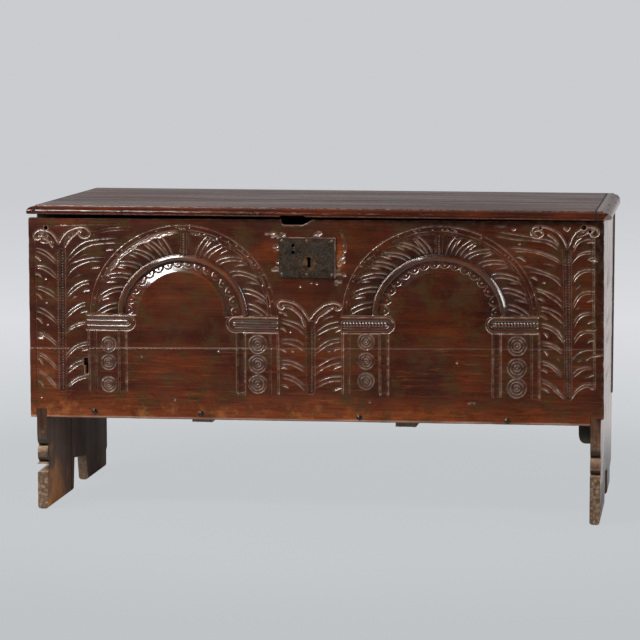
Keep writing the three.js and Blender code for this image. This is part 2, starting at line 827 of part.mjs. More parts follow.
// The bottom
const inFront = frontThickness + 2 * fitGap;
const behind = backFront - 2 * fitGap;
const battenTop = bottomUnderside - fitGap;
const battenUnderside = battenTop - battenThickness;
const nailTip = battenUnderside + battenNailLength;
const frontHoles = bottomNailPlaces().map(([x, z]) => nailHoleBack(x, z, 0, bottomNailLength + fitGap));
const boardHoles = (fromY, toY) => battenHoles(battenMiddles, fromY, toY, battenTop, nailTip + fitGap);
const frontBoardRear = bottomJointY - fitGap / 2;
const rearBoardFront = bottomJointY + fitGap / 2;
const frontBottom = bottomBoard(inFront, frontBoardRear, [...frontHoles, ...boardHoles(0, bottomJointY)]);
const rearBottom = bottomBoard(rearBoardFront, behind, boardHoles(bottomJointY, bodyDepth));
addPiece("bottom_board_front", frontBottom, plainOak, plainRough);
addPiece("bottom_board_rear", rearBottom, plainOak, plainRough);
for (const [side, share] of Object.entries(battenShares)) {
  const middle = share * chestLength;
  const half = battenWidth / 2;
  const fromY = inFront + battenEndInset;
  const toY = behind - battenEndInset;
  const batten = block(middle - half, middle + half, fromY, toY, battenUnderside, battenTop);
  const holes = battenHoles([middle], 0, bodyDepth, battenUnderside - fitGap, battenTop + fitGap);
  addPiece(`batten_${side}`, cut(batten, ...holes), plainOak, plainRough);
}
const bearerRight = rightInner - fitGap;
const bearerLeft = bearerRight - bearerWidth;
const bearerUnderside = battenTop - bearerHeight;
const bearerOutline = new THREE.Shape();
bearerOutline.moveTo(bearerLeft, battenTop);
bearerOutline.lineTo(bearerLeft, bearerUnderside + bearerHeight * bearerChamferShare);
bearerOutline.quadraticCurveTo(
  bearerLeft,
  bearerUnderside,
  bearerLeft + bearerWidth * bearerChamferShare,
  bearerUnderside,
);
bearerOutline.lineTo(bearerRight, bearerUnderside);
bearerOutline.lineTo(bearerRight, battenTop);
bearerOutline.closePath();
const bearer = carriedBack(bearerOutline, inFront + battenEndInset, behind - battenEndInset);
addPiece("bearer_right", bearer, plainOak, plainRough);

// The lid
const whole = lidBlock();
const lidEdge = [lidFront - fitGap, lidRear + fitGap];
const frontEndY = lidJointY - fitGap / 2;
const rearStartY = lidJointY + fitGap / 2;
const boardLeft = leftCleatJoint + fitGap / 2;
const boardRight = rightCleatJoint - fitGap / 2;
const frontLidBoard = lidPiece(whole, boardLeft, boardRight, lidEdge[0], frontEndY, haspRecess());
addPiece("lid_board_front", frontLidBoard, lidOak, oakRough);
addPiece("lid_board_rear", lidPiece(whole, boardLeft, boardRight, rearStartY, lidEdge[1]), lidOak, oakRough);
const leftCleat = lidPiece(whole, lidLeft - fitGap, leftCleatJoint - fitGap / 2, ...lidEdge);
const rightCleat = lidPiece(whole, rightCleatJoint + fitGap / 2, lidRight + fitGap, ...lidEdge);
addPiece("lid_cleat_left", leftCleat, lidOak, oakRough);
addPiece("lid_cleat_right", rightCleat, lidOak, oakRough);

// The lock
addPiece("lock_plate", lockPlate(), darkIron, ironRough, ironMetal);
addPiece("lock_case", lockCase(), darkIron, ironRough, ironMetal);
addPiece("lock_bolt", lockBolt(), darkIron, ironRough, ironMetal);
addPiece("bolt_guide_left", boltGuide(haspX + guideFromSlot), darkIron, ironRough, ironMetal);
addPiece("bolt_guide_right", boltGuide(keyholeX + guideFromKeyhole), darkIron, ironRough, ironMetal);
addPiece("bolt_spring", boltSpring(), darkIron, ironRough, ironMetal);

// The hinges
for (const [side, x] of [["left", -hingeX], ["right", hingeX]]) {
  addPiece(`hinge_strap_${side}`, hingeStrap(x), darkIron, ironRough, ironMetal);
  addPiece(`hinge_plate_${side}`, hingePlate(x), darkIron, ironRough, ironMetal);
  addPiece(`hinge_pin_${side}`, hingePin(x), darkIron, ironRough, ironMetal);
}

// The nails
bottomNailPlaces().forEach(([x, z], index) => {
  const nail = nailBack(x, -fitGap, z, roseheadRadius, roseheadHeight, bottomNailLength);
  addPiece(`bottom_nail_${index + 1}`, nail, darkIron, ironRough, ironMetal);
});
plateNailPlaces().forEach(([x, z], index) => {
  const front = -2 * fitGap - plateThickness;
  const nail = nailBack(x, front, z, plateNailRadius, plateNailHeight, plateNailLength);
  addPiece(`plate_nail_${index + 1}`, nail, darkIron, ironRough, ironMetal);
});
battenMiddles.flatMap((x) => battenNailPlaces(x)).forEach(([x, y], index) => {
  const nail = nailBack(0, 0, 0, roseheadRadius, roseheadHeight, battenNailLength);
  nail.rotateX(Math.PI / 2);
  nail.translate(x, y, battenUnderside - fitGap);
  addPiece(`batten_nail_${index + 1}`, nail, darkIron, ironRough, ironMetal);
});

export default chest;
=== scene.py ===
"""The looks of the coffer chest: carved front, oak, iron, light and camera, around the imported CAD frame."""
import math

import bmesh
import bpy
import numpy as np
from mathutils import Matrix, Vector


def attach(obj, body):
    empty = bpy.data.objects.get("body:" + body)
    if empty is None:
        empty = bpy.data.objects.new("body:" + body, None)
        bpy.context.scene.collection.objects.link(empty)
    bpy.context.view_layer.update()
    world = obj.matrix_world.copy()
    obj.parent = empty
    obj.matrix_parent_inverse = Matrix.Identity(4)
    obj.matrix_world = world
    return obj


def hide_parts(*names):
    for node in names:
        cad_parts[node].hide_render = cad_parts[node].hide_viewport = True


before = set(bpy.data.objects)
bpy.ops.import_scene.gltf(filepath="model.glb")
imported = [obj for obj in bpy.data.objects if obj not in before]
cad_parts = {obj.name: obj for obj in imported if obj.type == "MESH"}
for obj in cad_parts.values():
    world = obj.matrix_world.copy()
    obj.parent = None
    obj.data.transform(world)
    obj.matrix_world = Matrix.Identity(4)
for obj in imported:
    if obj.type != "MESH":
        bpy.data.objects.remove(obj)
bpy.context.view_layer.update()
scene = bpy.context.scene

# Places are in mm from the middle of the front board's face at floor level. The frame's origin lies elsewhere, and
# it is in metres.
OVER_X, OVER_Y = -4.75, -269.75
FRONT_LEFT, FRONT_LENGTH, FRONT_THICK = -600, 1200, 20.0
CLEAT_JOINT_LEFT, CLEAT_JOINT_RIGHT = -583, 580
LID_JOINT_Y, END_JOINT_Y = 234.9, 205.2
STRAP_X = 380.4


def metres(x=0.0, y=0.0, z=0.0):
    """A place in mm, as the frame has it in metres."""
    return (x + OVER_X) / 1000, (y + OVER_Y) / 1000, z / 1000


# ---------------------------------------------------------------- materials

def srgb(r, g, b):
    """A colour written as it shows, 0 to 255, as the linear colour that nodes take."""
    return tuple(((c / 255 + 0.055) / 1.055) ** 2.4 if c > 10 else c / 255 / 12.92 for c in (r, g, b))


class Nodes:
    """A tree of shader nodes, with short ways to add to it."""

    def __init__(self, tree):
        self.tree = tree
        tree.nodes.clear()

    def node(self, kind, inputs=(), out=0, **settings):
        """Adds a node, sets or links its inputs, in order or by name, and gives one of its outputs.

        Colours are given as they show, 0 to 255.
        """
        made = self.tree.nodes.new("ShaderNode" + kind)
        for key, value in settings.items():
            setattr(made, key, value)
        for key, value in (inputs if isinstance(inputs, dict) else dict(enumerate(inputs))).items():
            socket = made.inputs[key]
            if isinstance(value, bpy.types.NodeSocket):
                self.tree.links.new(value, socket)
            elif socket.type == "RGBA":
                socket.default_value = (*srgb(*value), 1)
            else:
                socket.default_value = value
        return made.outputs[out] if len(made.outputs) else None

    def maths(self, operation, *values, clamp=False):
        return self.node("Math", values, operation=operation, use_clamp=clamp)

    def add(self, a, b, clamp=False):
        return self.maths("ADD", a, b, clamp=clamp)

    def times(self, a, b, clamp=False):
        return self.maths("MULTIPLY", a, b, clamp=clamp)

    def larger(self, a, b):
        return self.maths("MAXIMUM", a, b)

    def between(self, value, low, high, to_low=0.0, to_high=1.0, how="SMOOTHSTEP"):
        return self.node("MapRange", (value, low, high, to_low, to_high), interpolation_type=how)

    def weighed(self, *parts):
        """The sum of values times their weights."""
        total, *others = (self.times(*part) for part in parts)
        for other in others:
            total = self.add(total, other)
        return total

    def axes(self, vector):
        return self.node("SeparateXYZ", (vector,)).node.outputs

    def ramp(self, value, places, colours):
        made = self.node("ValToRGB", (value,))
        elements = made.node.color_ramp.elements
        while len(elements) < len(places):
            elements.new(0.5)
        for element, place, colour in zip(elements, places, colours):
            element.position, element.color = place, (*srgb(*colour), 1)
        return made


class Look(Nodes):
    """A material. Its colour is laid on in layers."""

    def __init__(self, name):
        self.material = bpy.data.materials.new(name)
        self.material.use_nodes = True
        super().__init__(self.material.node_tree)
        self.coords = self.node("TexCoord", out="Object")
        self.colour = None

    def stretch(self, scale):
        return self.node("VectorMath", (self.coords, scale), operation="MULTIPLY")

    def noise(self, scale, detail, rough, over=None, bend=0.0):
        return self.node("TexNoise", {"Vector": over or self.coords, "Scale": scale, "Detail": detail,
                                      "Roughness": rough, "Distortion": bend})

    def clouds(self, scale, detail, rough, *limits, over=None):
        """Noise whose values between two limits are spread over two others, or over 0 to 1."""
        return self.between(self.noise(scale, detail, rough, over), *limits)

    def attribute(self, name):
        return self.node("Attribute", out="Fac", attribute_name=name)

    def far(self, place, scale):
        """The distance from a place in metres, with the axes weighed by a scale."""
        at = tuple(p * s for p, s in zip(place, scale))
        return self.node("VectorMath", (self.stretch(scale), at), out="Value", operation="DISTANCE")

    def lay(self, share, tone):
        """Lays a colour over what is there."""
        self.colour = self.node("Mix", {"Factor": share, 6: self.colour, 7: tone}, out=2, data_type="RGBA")

    def stain(self, scale, detail, rough, low, high, most, tone, over=None):
        """Lays a colour on in clouds."""
        self.lay(self.clouds(scale, detail, rough, low, high, 0, most, over=over), tone)

    def finish(self, height, strength, distance, **sockets):
        sockets = {name.replace("_", " "): value for name, value in sockets.items()}
        sockets["Base Color"] = self.colour
        sockets["Normal"] = self.node("Bump", {"Strength": strength, "Distance": distance, "Height": height})
        self.node("OutputMaterial", (self.node("BsdfPrincipled", sockets),))
        return self.material


def along_axis(along, share):
    """A scale that draws noise out along one axis."""
    return tuple(share if axis == along else 1 for axis in "xyz")


def grain_fields(look, along):
    """Growth bands, fibres and pores that run along one axis, and patches."""
    bands = look.noise(42, 4, 0.55, look.stretch(along_axis(along, 0.07)), 0.5)
    fine = look.stretch(along_axis(along, 0.03))
    return bands, look.noise(420, 3, 0.6, fine), look.noise(1100, 2, 0.5, fine), look.noise(5.5, 4, 0.55)


def carved_oak(name, cool, warm, gloss, streaky):
    """Dark waxed oak, lighter where its carving is worn, with painted highlights on the walls of its cuts and painted
    shade, with some dust, in its cuts and hollows.
    """
    look = Look(name)
    bands, fibres, pores, patches = grain_fields(look, "x")
    figure = look.weighed((bands, 0.62), (fibres, 0.38))
    is_warm, shade_and_dust, raw = (look.attribute(field) for field in ("warm", "shade_and_dust", "raw"))
    look.colour = look.ramp(figure, (0.27, 0.5, 0.73), cool)
    look.lay(look.add(is_warm, look.between(patches, 0.3, 0.7, -0.22, 0.22), clamp=True),
             look.ramp(figure, (0.27, 0.5, 0.73), warm))
    look.stain(27, 6, 0.7, 0.47, 0.62, 0.75, (70, 48, 22))
    look.stain(41, 5, 0.65, 0.54, 0.68, 0.6, (76, 17, 13), over=look.stretch((0.6, 1, 1.3)))
    scuffs = look.clouds(24, 6, 0.72, 0.5, 0.66, 0, 0.65)
    look.lay(look.times(look.between(is_warm, 0.4, 0.8), scuffs), (150, 90, 46))
    look.lay(look.between(pores, 0.56, 0.66, 0, 0.4), (24, 12, 9))
    streaks = look.noise(230, 4, 0.6, look.stretch((0.06, 1, 1)))
    look.lay(look.between(streaks, 0.56, 0.68, 0, 0.4), cool[0])
    look.lay(look.between(streaks, 0.44, 0.34, 0, streaky), warm[2])
    # Painted shade in the cuts and hollows and under the lid, then pale dust over part of it
    look.lay(look.times(shade_and_dust, 0.9, clamp=True), (22, 11, 7))
    look.lay(look.times(shade_and_dust, look.clouds(60, 3, 0.5, 0.45, 0.7, 0, 0.35)), (96, 82, 70))
    look.lay(look.times(look.attribute("wear_and_highlight"), 0.7, clamp=True), (150, 104, 78))
    # Painted highlights on the walls of the cuts that face up or sideways, and on rings, grounds and arrises
    look.lay(look.times(look.attribute("lit"), 0.85, clamp=True), (184, 152, 132))
    look.lay(raw, (152, 128, 114))
    rough = look.add(look.clouds(14, 4, 0.6, 0.3, 0.7, gloss - 0.06, gloss + 0.1), look.times(raw, 0.3))
    height = look.weighed((fibres, 0.6), (look.between(pores, 0.5, 0.62), -0.5), (look.noise(160, 3, 0.6), 0.5))
    return look.finish(height, 0.35, 0.0005, Roughness=rough, Specular_IOR_Level=0.3, Coat_Weight=1.0,
                       Coat_Roughness=0.1, Coat_IOR=1.58)


def joint(look, axis, place, half):
    """The dirt in a joint, 1 at its line, which lies at a place along an axis."""
    crooked = look.add(look.axes(look.coords)[axis], look.clouds(6, 3, 0.5, 0.3, 0.7, -0.0006, 0.0006))
    off = look.maths("ABSOLUTE", look.maths("SUBTRACT", crooked, metres(place, place)[axis]))
    return look.between(off, half * 0.0004, half * 0.0012, 1, 0)


def plain_oak(name, along, tones, gloss, coat, worn=(120, 86, 60), low=None, bump=0.5, lines=(), holes=(), mottle=None,
              front_light_pool=False):
    """Oak without carving, waxed outside or dry inside.

    The tones go from dark to light, low is the tone near the floor, and with front_light_pool a painted pool of light,
    mottle that of the feet's rough front edges, lines are joints that hold dirt (axis, place, half width) and holes are
    dark splits (x, y, radius).
    """
    look = Look(name)
    bands, fibres, pores, patches = grain_fields(look, along)
    figure = look.add(look.weighed((bands, 0.6), (fibres, 0.4)), look.between(patches, 0.3, 0.7, -0.09, 0.09))
    look.colour = look.ramp(figure, (0.28, 0.5, 0.7), tones)
    if low:
        _, ahead, up = look.axes(look.coords)
        place = look.add(up, look.clouds(22, 4, 0.6, 0.3, 0.7, -0.05, 0.05))
        # With front_light_pool the low tone is a painted pool of light, reaching higher near the front edge
        glow = look.add(place, look.between(ahead, -0.2, -0.065, 0.045, 0.14)) if front_light_pool else place
        look.lay(look.between(glow, 0.2, 0.03, 0, 0.9), low)
    if mottle:
        share = look.times(look.between(place, 0.19, 0.07), look.between(ahead, -0.2, -0.1, 1, 0.3))
        look.lay(look.times(share, look.clouds(150, 5, 0.6, 0.46, 0.66, 0, 0.75)), mottle)
        look.stain(120, 4, 0.65, 0.5, 0.62, 0.5, tones[0])
    look.lay(look.between(pores, 0.55, 0.66, 0, 0.5), (20, 12, 9))
    look.stain(9, 5, 0.65, 0.56, 0.72, 0.45, tones[0])
    rubbed = look.clouds(170, 3, 0.5, 0.38, 0.6, 0.6 if mottle else 0.15, 1.0)
    # Wear on rubbed arrises, and a painted highlight on the feet's faces that look up
    look.lay(look.times(look.attribute("wear_and_highlight"), rubbed, clamp=True), worn)
    # Painted shade on the feet's faces that look down
    look.lay(look.times(look.attribute("shade_and_dust"), 0.8, clamp=True), (22, 15, 12))
    dirt = 0.0
    for line in lines:
        dirt = look.larger(joint(look, *line), dirt)
    for x, y, radius in holes:
        far = look.far(metres(x, y), (1, 0.2, 0))
        dirt = look.larger(look.between(far, radius * 0.0008, radius * 0.001, 1, 0), dirt)
    look.lay(look.times(dirt, 0.9), (14, 9, 7))
    rough = look.clouds(16, 5, 0.65, 0.3, 0.7, gloss - 0.07, gloss + 0.16, over=look.stretch(along_axis(along, 0.1)))
    height = look.weighed((fibres, 0.7), (look.between(pores, 0.5, 0.62), -0.6), (bands, 0.5))
    return look.finish(height, bump, 0.0008, Roughness=look.add(rough, dirt, clamp=True), Coat_Weight=coat,
                       Coat_Roughness=0.09)


def iron(name, tone, rust, gloss, metallic=0.55, around=None, rim=None):
    """Old iron, pitted, with rust blooms and a waxed skin.

    It has more rust around a place (x, z), and bright edges to the right of and above rim (x, z).
    """
    look = Look(name)
    look.colour = tone
    look.lay(look.clouds(120, 4, 0.6, 0.3, 0.75), (54, 37, 22))
    look.lay(look.times(look.clouds(55, 5, 0.65, 0.48, 0.66), 0.7), rust)
    if around:
        near = look.between(look.far(metres(x=around[0], z=around[1]), (1, 0, 1)), 0.008, 0.026, 0.55, 0)
        look.lay(look.times(near, look.clouds(130, 4, 0.6, 0.46, 0.6)), (122, 70, 20))
    look.stain(480, 3, 0.6, 0.58, 0.68, 0.5, (112, 102, 72))
    if rim:
        across, _, up = look.axes(look.coords)
        right, _, top = metres(x=rim[0], z=rim[1])
        edge = look.larger(look.between(across, right - 0.001, right), look.between(up, top - 0.001, top))
        look.lay(look.times(edge, look.clouds(60, 3, 0.5, 0.35, 0.6, 0.2, 0.9)), (150, 112, 96))
    pits = look.node("TexVoronoi", {"Vector": look.coords, "Scale": 420}, out="Distance")
    height = look.add(look.noise(260, 4, 0.6), look.between(pits, 0.0, 0.35, -0.4, 0.2))
    return look.finish(height, 0.6, 0.0008, Metallic=metallic, Coat_Weight=0.2, Coat_Roughness=0.3,
                       Roughness=look.clouds(90, 4, 0.5, 0.3, 0.7, gloss - 0.1, gloss + 0.15))


cool = [(40, 16, 9), (60, 25, 13), (82, 36, 19)]
warm = [(82, 33, 11), (116, 52, 18), (148, 76, 32)]
carved = {"upper": carved_oak("carved_oak", cool, warm, 0.27, 0.08),
          "lower": carved_oak("carved_oak_low", cool, warm, 0.29, 0.3)}
lid_coat = {"x": 0.13, "y": 0.6}
cleat_lines = [(0, CLEAT_JOINT_LEFT, 2.0), (0, CLEAT_JOINT_RIGHT, 2.2)]
lid_lines = {"x": [*cleat_lines, (1, LID_JOINT_Y, 6)], "y": cleat_lines}
lid_holes = [(597, 215, 3.4), (606, 330, 2.6), (596, 420, 2.2), (605.6, 490, 3), (600, 90, 2.6), (588, 40, 2),
             (-592, 330, 3), (-591, 110, 3)]
dry_along, lid_along, lid_under = {}, {}, {}
for axis in "xy":
    dry_along[axis] = plain_oak("dry_oak_" + axis, axis, [(70, 52, 40), (104, 82, 64), (130, 106, 84)], 0.6, 0.0)
    lid_along[axis] = plain_oak("lid_oak_" + axis, axis, [(40, 14, 7), (64, 24, 11), (94, 40, 18)], 0.14,
                                lid_coat[axis], worn=(150, 104, 82), bump=0.2, lines=lid_lines[axis], holes=lid_holes)
    lid_under[axis] = plain_oak("lid_under_" + axis, axis, [(58, 38, 27), (88, 62, 46), (114, 84, 64)], 0.5, 0.0,
                                worn=(112, 72, 50))
end_oak = plain_oak("end_oak", "z", [(40, 25, 17), (68, 42, 28), (100, 66, 44)], 0.17, 1.0, worn=(140, 104, 74),
                    low=(124, 90, 62), lines=[(1, END_JOINT_Y, 2)])
# Inside the ends, the bright low tone is a painted pool of light near the front edge and the floor
end_dry = plain_oak("end_dry", "z", [(66, 49, 42), (98, 76, 66), (126, 98, 84)], 0.75, 0.0, worn=(110, 78, 52),
                    low=(190, 128, 74), lines=[(1, END_JOINT_Y, 3)], front_light_pool=True)
end_edge = plain_oak("end_edge", "z", [(50, 29, 16), (82, 51, 30), (112, 74, 45)], 0.4, 0.1, worn=(190, 158, 130),
                     low=(104, 78, 54), mottle=(160, 134, 108))
bearer_oak = plain_oak("bearer_oak", "y", [(34, 32, 24), (50, 46, 36), (66, 58, 46)], 0.7, 0.0)
back_oak = plain_oak("back_oak", "x", [(62, 47, 37), (92, 72, 56), (118, 94, 74)], 0.6, 0.0)
plate_iron = iron("plate_iron", (26, 18, 9), (62, 36, 14), 0.5, 0.2, around=(-6, 530), rim=(47.8, 582.3))
# The bolt's pale pinkish tone is a painted highlight where it shows in the slot
bolt_iron = iron("bolt_iron", (196, 160, 148), (170, 124, 110), 0.35, 0.2)
plate_nail_iron = iron("plate_nail_iron", (120, 108, 94), (110, 80, 58), 0.3, 0.3)
dark_iron = iron("dark_iron", (40, 34, 28), (70, 44, 28), 0.5)
nail_iron = iron("nail_iron", (56, 46, 38), (74, 48, 32), 0.3, 0.7)


# ---------------------------------------------------------------- the carving, as depths over the front

PITCH = 0.6
XS = np.arange(-603, 603.5, PITCH)
ZS = np.arange(192, 626, PITCH)
X, Z = np.meshgrid(XS, ZS)
# Depths of the ground and of the cuts in it, and shares of bare wood, painted shade and painted highlight
ground, cuts, raw, shade, glint = (np.zeros_like(X) for _ in range(5))
LATTICE = 97
EAVE = 1.4  # between a roll and the leaves


def blended(at, i, j, a, b):
    """The value between four cells, at the shares a across and b up."""
    low = at(i, j) * (1 - a) + at(i + 1, j) * a
    high = at(i, j + 1) * (1 - a) + at(i + 1, j + 1) * a
    return low * (1 - b) + high * b


def rough_field(x, z, size_x, size_z, seed):
    """Smooth random values from -1 to 1 over places, with the given size of their bumps in mm."""
    lattice = np.random.default_rng(seed).uniform(-1, 1, (LATTICE, LATTICE))
    u, v = x / size_x + 31.7, z / size_z + 17.3
    i, j = np.floor(u).astype(int), np.floor(v).astype(int)
    a, b = u - i, v - j
    a, b = a * a * (3 - 2 * a), b * b * (3 - 2 * b)
    return blended(lambda p, q: lattice[q % LATTICE, p % LATTICE], i, j, a, b)


def rough_at(where, size_x, size_z, seed):
    return rough_field(X[where], Z[where], size_x, size_z, seed)


def rough_sum(x, z, size, seed, stretch=1.0):
    """Random values with finer ones over them. stretch draws them out along x."""
    return sum(rough_field(x, z, size * stretch / 2 ** n, size / 2 ** n, seed + n) / 2 ** n for n in range(3)) / 1.6


def smooth_line(points, step=2.5):
    """A smooth curve through points, as close points."""
    p = np.array(points, float)
    if len(p) == 2:
        count = max(2, int(np.hypot(*(p[1] - p[0])) / step))
        return p[0] + (p[1] - p[0]) * np.linspace(0, 1, count + 1)[:, None]
    ends = np.vstack([2 * p[0] - p[1], p, 2 * p[-1] - p[-2]])
    out = []
    for a, b, c, d in zip(ends, ends[1:], ends[2:], ends[3:]):
        count = max(2, int(np.hypot(*(c - b)) / step))
        t = np.linspace(0, 1, count, endpoint=False)[:, None]
        bend, swing = 2 * a - 5 * b + 4 * c - d, 3 * b - a - 3 * c + d
        out.append(0.5 * (2 * b + (c - a) * t + bend * t ** 2 + swing * t ** 3))
    return np.vstack(out + [p[-1:]])


def window(x0, x1, z0, z1):
    """The part of the fields between these limits."""
    i0, i1 = np.searchsorted(XS, [x0, x1])
    j0, j1 = np.searchsorted(ZS, [z0, z1])
    return slice(j0, j1), slice(i0, i1)


def around(points, margin):
    """The part of the fields round some points."""
    (x0, z0), (x1, z1) = np.min(points, 0) - margin, np.max(points, 0) + margin
    return window(x0, x1, z0, z1)


def lift(field, where, values):
    """Raises a part of a field to values where it is lower."""
    field[where] = np.maximum(field[where], values)


def bowl(off):
    """A half round section, 1 in the middle and 0 from an off of 1."""
    return np.sqrt(np.clip(1 - off ** 2, 0, 1))


def stroke(points, half, deep, start=0.0, end=0.0):
    """A cut along a curve. start and end are the shares of its length over which it thins out."""
    line = smooth_line(points)
    run = np.concatenate([[0], np.cumsum(np.hypot(*np.diff(line, axis=0).T))])
    share = run / run[-1]
    size = 1 + 0.16 * rough_field(line[:, 0], line[:, 1], 9, 9, 5)
    for from_end, tail in ((share, start), (1 - share, end)):
        if tail:
            size *= np.clip(from_end / tail, 0.45, 1) ** 0.6
    for a, b, s, t in zip(line, line[1:], size, size[1:]):
        where = around([a, b], half * max(s, t))
        x, z = X[where], Z[where]
        if x.size:
            d = b - a
            along = np.clip(((x - a[0]) * d[0] + (z - a[1]) * d[1]) / max(d @ d, 1e-9), 0, 1)
            width = s + along * (t - s)
            off = np.hypot(x - a[0] - along * d[0], z - a[1] - along * d[1]) / (half * width)
            lift(cuts, where, np.clip(1 - off, 0, 1) ** 0.85 * deep * width)


def strokes(text, **how):
    """Cuts along curves, one in a row of x,z pairs."""
    for points in read(text):
        stroke(points, **how)


def read(text):
    return [[tuple(map(float, place.split(","))) for place in row.split()] for row in text.strip().split("\n")]


def dot(x, z, radius, deep):
    where = around([(x, z)], radius)
    lift(cuts, where, deep * bowl(np.hypot(X[where] - x, Z[where] - z) / radius))


def ring(x, z, radius):
    where = around([(x, z)], radius + 2)
    dx, dz = X[where] - x, Z[where] - z
    off = np.abs(np.hypot(dx, dz) - radius * (1 + 0.02 * np.sin(3 * np.arctan2(dz, dx)))) / 1.2
    lift(cuts, where, 1.3 * np.clip(1 - off, 0, 1) ** 0.85)
    broken = np.clip(0.45 + 0.9 * rough_at(where, 7, 7, 17), 0.1, 1)
    lift(glint, where, 0.6 * broken * np.clip(1.3 - 1.3 * off, 0, 1))


def inside(points):
    """The part of the fields round a closed outline, and which of its places are inside."""
    p = smooth_line(list(points) + [points[0]], 2.0)
    where = around(p, 3)
    x, z = X[where], Z[where]
    hit = np.zeros(x.shape, bool)
    for (ax, az), (bx, bz) in zip(p, np.roll(p, -1, 0)):
        if abs(bz - az) > 1e-9:
            hit ^= ((az > z) != (bz > z)) & (x < ax + (z - az) * (bx - ax) / (bz - az))
    return where, hit


def ellipse_reach(angle, radii):
    """How far an arch's line is from its centre. radii are the left, right and upward ones."""
    left, right, up = radii
    side = np.where(np.cos(angle) > 0, right, left)
    return 1 / np.sqrt((np.cos(angle) / side) ** 2 + (np.sin(angle) / up) ** 2)


def ease(value, low, high):
    t = np.clip((value - low) / np.maximum(high - low, 1e-6), 0, 1)
    return t * t * (3 - 2 * t)


def arch(cx, cz, outer, rim, roll, roll_half, field, leaves, lobes, key, slopes):
    """An arch: line, rim band, leaves swept away from the keystone, roll, lobes and the plain field inside.

    outer, rim, roll and field are radii. Each leaf is its angles at the roll and at the rim. The keystone is its
    middle, half width, lines and row of dots. The slopes are of the sunk ground inside the rim, of the lobes with
    the ground under them, and of the roll's flank.
    """
    key_middle, key_half, key_lines, key_dots = key
    where = window(cx - outer[0] - 4, cx + outer[1] + 4, cz - 1, cz + outer[2] + 4)
    dx, dz = X[where] - cx, Z[where] - cz
    angle, reach = np.arctan2(dz, dx), np.hypot(dx, dz)
    wobble = 0.5 * rough_at(where, 30, 30, 11)
    at_rim, at_roll, at_field = (ellipse_reach(angle, r) + wobble for r in (rim, roll, field))

    # Leaves, which fall away to a sunk ground inside the rim and to the roll. The ground is stepped at the top left,
    # where it carries a painted highlight
    edges = np.radians([0.0] + sorted(tip for _, tip in leaves) + [180.0])
    index = np.clip(np.searchsorted(edges, angle) - 1, 0, len(edges) - 2)
    share = (angle - edges[index]) / (edges[index + 1] - edges[index])
    share = np.where(angle > np.pi / 2, 1 - share, share)
    tip = 6 + 7 * np.abs(share - 0.4) ** 1.3 / 0.6 ** 1.3
    under_rim = at_rim - reach
    over_roll = reach - at_roll - roll_half - EAVE
    leaf = 0.4 + 4.2 * (1 - ease(over_roll, -4, 24)) + 0.9 * (1 - ease(under_rim - tip, 0, 14))
    top_left = ease(angle, 1.6, 1.75) * (1 - ease(angle, 2.35, 2.7)) * (slopes[0] > 0.3)
    patchy = ease(rough_at(where, 15, 15, 13), -0.3, 0.5) * (1 - 0.5 * ease(angle, 2.5, 2.8))
    rise = np.clip(10 - under_rim, 0, 10)
    steps = rise + 2.2 * rough_at(where, 7, 7, 14)
    steps = np.clip(steps - 5 * (steps > 5.5), 0, 6)
    sunk = 0.6 + slopes[0] * steps * np.maximum(patchy, top_left) + 0.25 * rough_at(where, 3, 3, 12)
    band = (under_rim > 0) & (over_roll > 0)
    deep = np.where(band, np.where(under_rim < tip, sunk, leaf), 0)
    keystone = band & (np.abs(dx - key_middle) < key_half)
    deep = np.where(keystone, 0.7 + 1.8 * (1 - ease(over_roll, 0, 10)), deep)

    # Roll: a flank that slopes outwards, a narrow crest and a steep rounded inner side
    off = reach - at_roll
    flank = 0.25 + slopes[2] * (0.45 + 0.75 * (1 - ease(angle, 1.85, 2.3))) * (off - 1)
    inner_side = 0.25 + 4 * (1 - bowl(np.clip(1 - off, 0, 6.6) / 6.6))
    deep = np.where((off > -roll_half) & (over_roll < 0), np.where(off > 1, flank, inner_side), deep)

    # Lobes along the inside of the roll, and the scooped ground under them
    inner = at_roll - roll_half
    spacing = np.pi / lobes
    spot = (np.floor(angle / spacing) + 0.5) * spacing
    along = (angle - spot) * (inner + at_field) / 2 / (spacing * (inner + at_field) / 4 * 0.97)
    length = (inner - at_field) * 0.62
    bulge = np.clip(1 - along ** 2, 0, 1)
    edge = inner - length * (0.25 + 0.75 * np.sqrt(bulge)) * (bulge > 0)
    scoop = (reach < inner) & (reach > at_field)
    faded = slopes[1] * (1 - 0.6 * ease(angle, 2.3, 2.6))
    lobe = 2.0 + faded * np.minimum(reach - inner + length, 11) + 0.4 * along ** 2
    fall = 0.2 + faded * np.minimum(reach - at_field, 14)
    deep = np.where(scoop, np.where(reach > edge, lobe, fall), deep)
    keep = dz > 0
    ground[where] = np.where(keep & (deep > 0), deep, ground[where])
    # Painted shade in the grooves beside the roll, in a crescent under each lobe, and over the leaves towards the rim
    groove = np.exp(-((off + roll_half + 0.6) / 1.5) ** 2) + 0.8 * np.exp(-((over_roll - 0.9) / 1.5) ** 2)
    crescent = (reach < edge) & (reach > edge - 2.2) & scoop
    dark = np.maximum(0.75 * groove + 0.9 * crescent, 0.3 * band * ease(under_rim, 3, 14))
    lift(shade, where, keep * np.clip(dark, 0, 1))
    lift(glint, where, 0.7 * keep * band * (under_rim < tip) * (rise > 0) * top_left)

    # Cuts: outer line, leaf strokes in pairs with a tick between, the lobes' outlines and dots, dots on the rim
    def at(a, r):
        return cx + r * np.cos(a), cz + r * np.sin(a)

    def curve(a, r, **how):
        stroke(np.stack(at(a, r), 1), **how)

    def sweep(roll_angle, tip_angle, low, high, **how):
        t = np.linspace(0, 1, 9)
        a = np.radians(roll_angle + (tip_angle - roll_angle) * t ** 1.5)
        from_r, to_r = ellipse_reach(a, roll) + roll_half + EAVE, ellipse_reach(a, rim)
        curve(a, from_r + (to_r - from_r) * (low + (high - low) * t), **how)

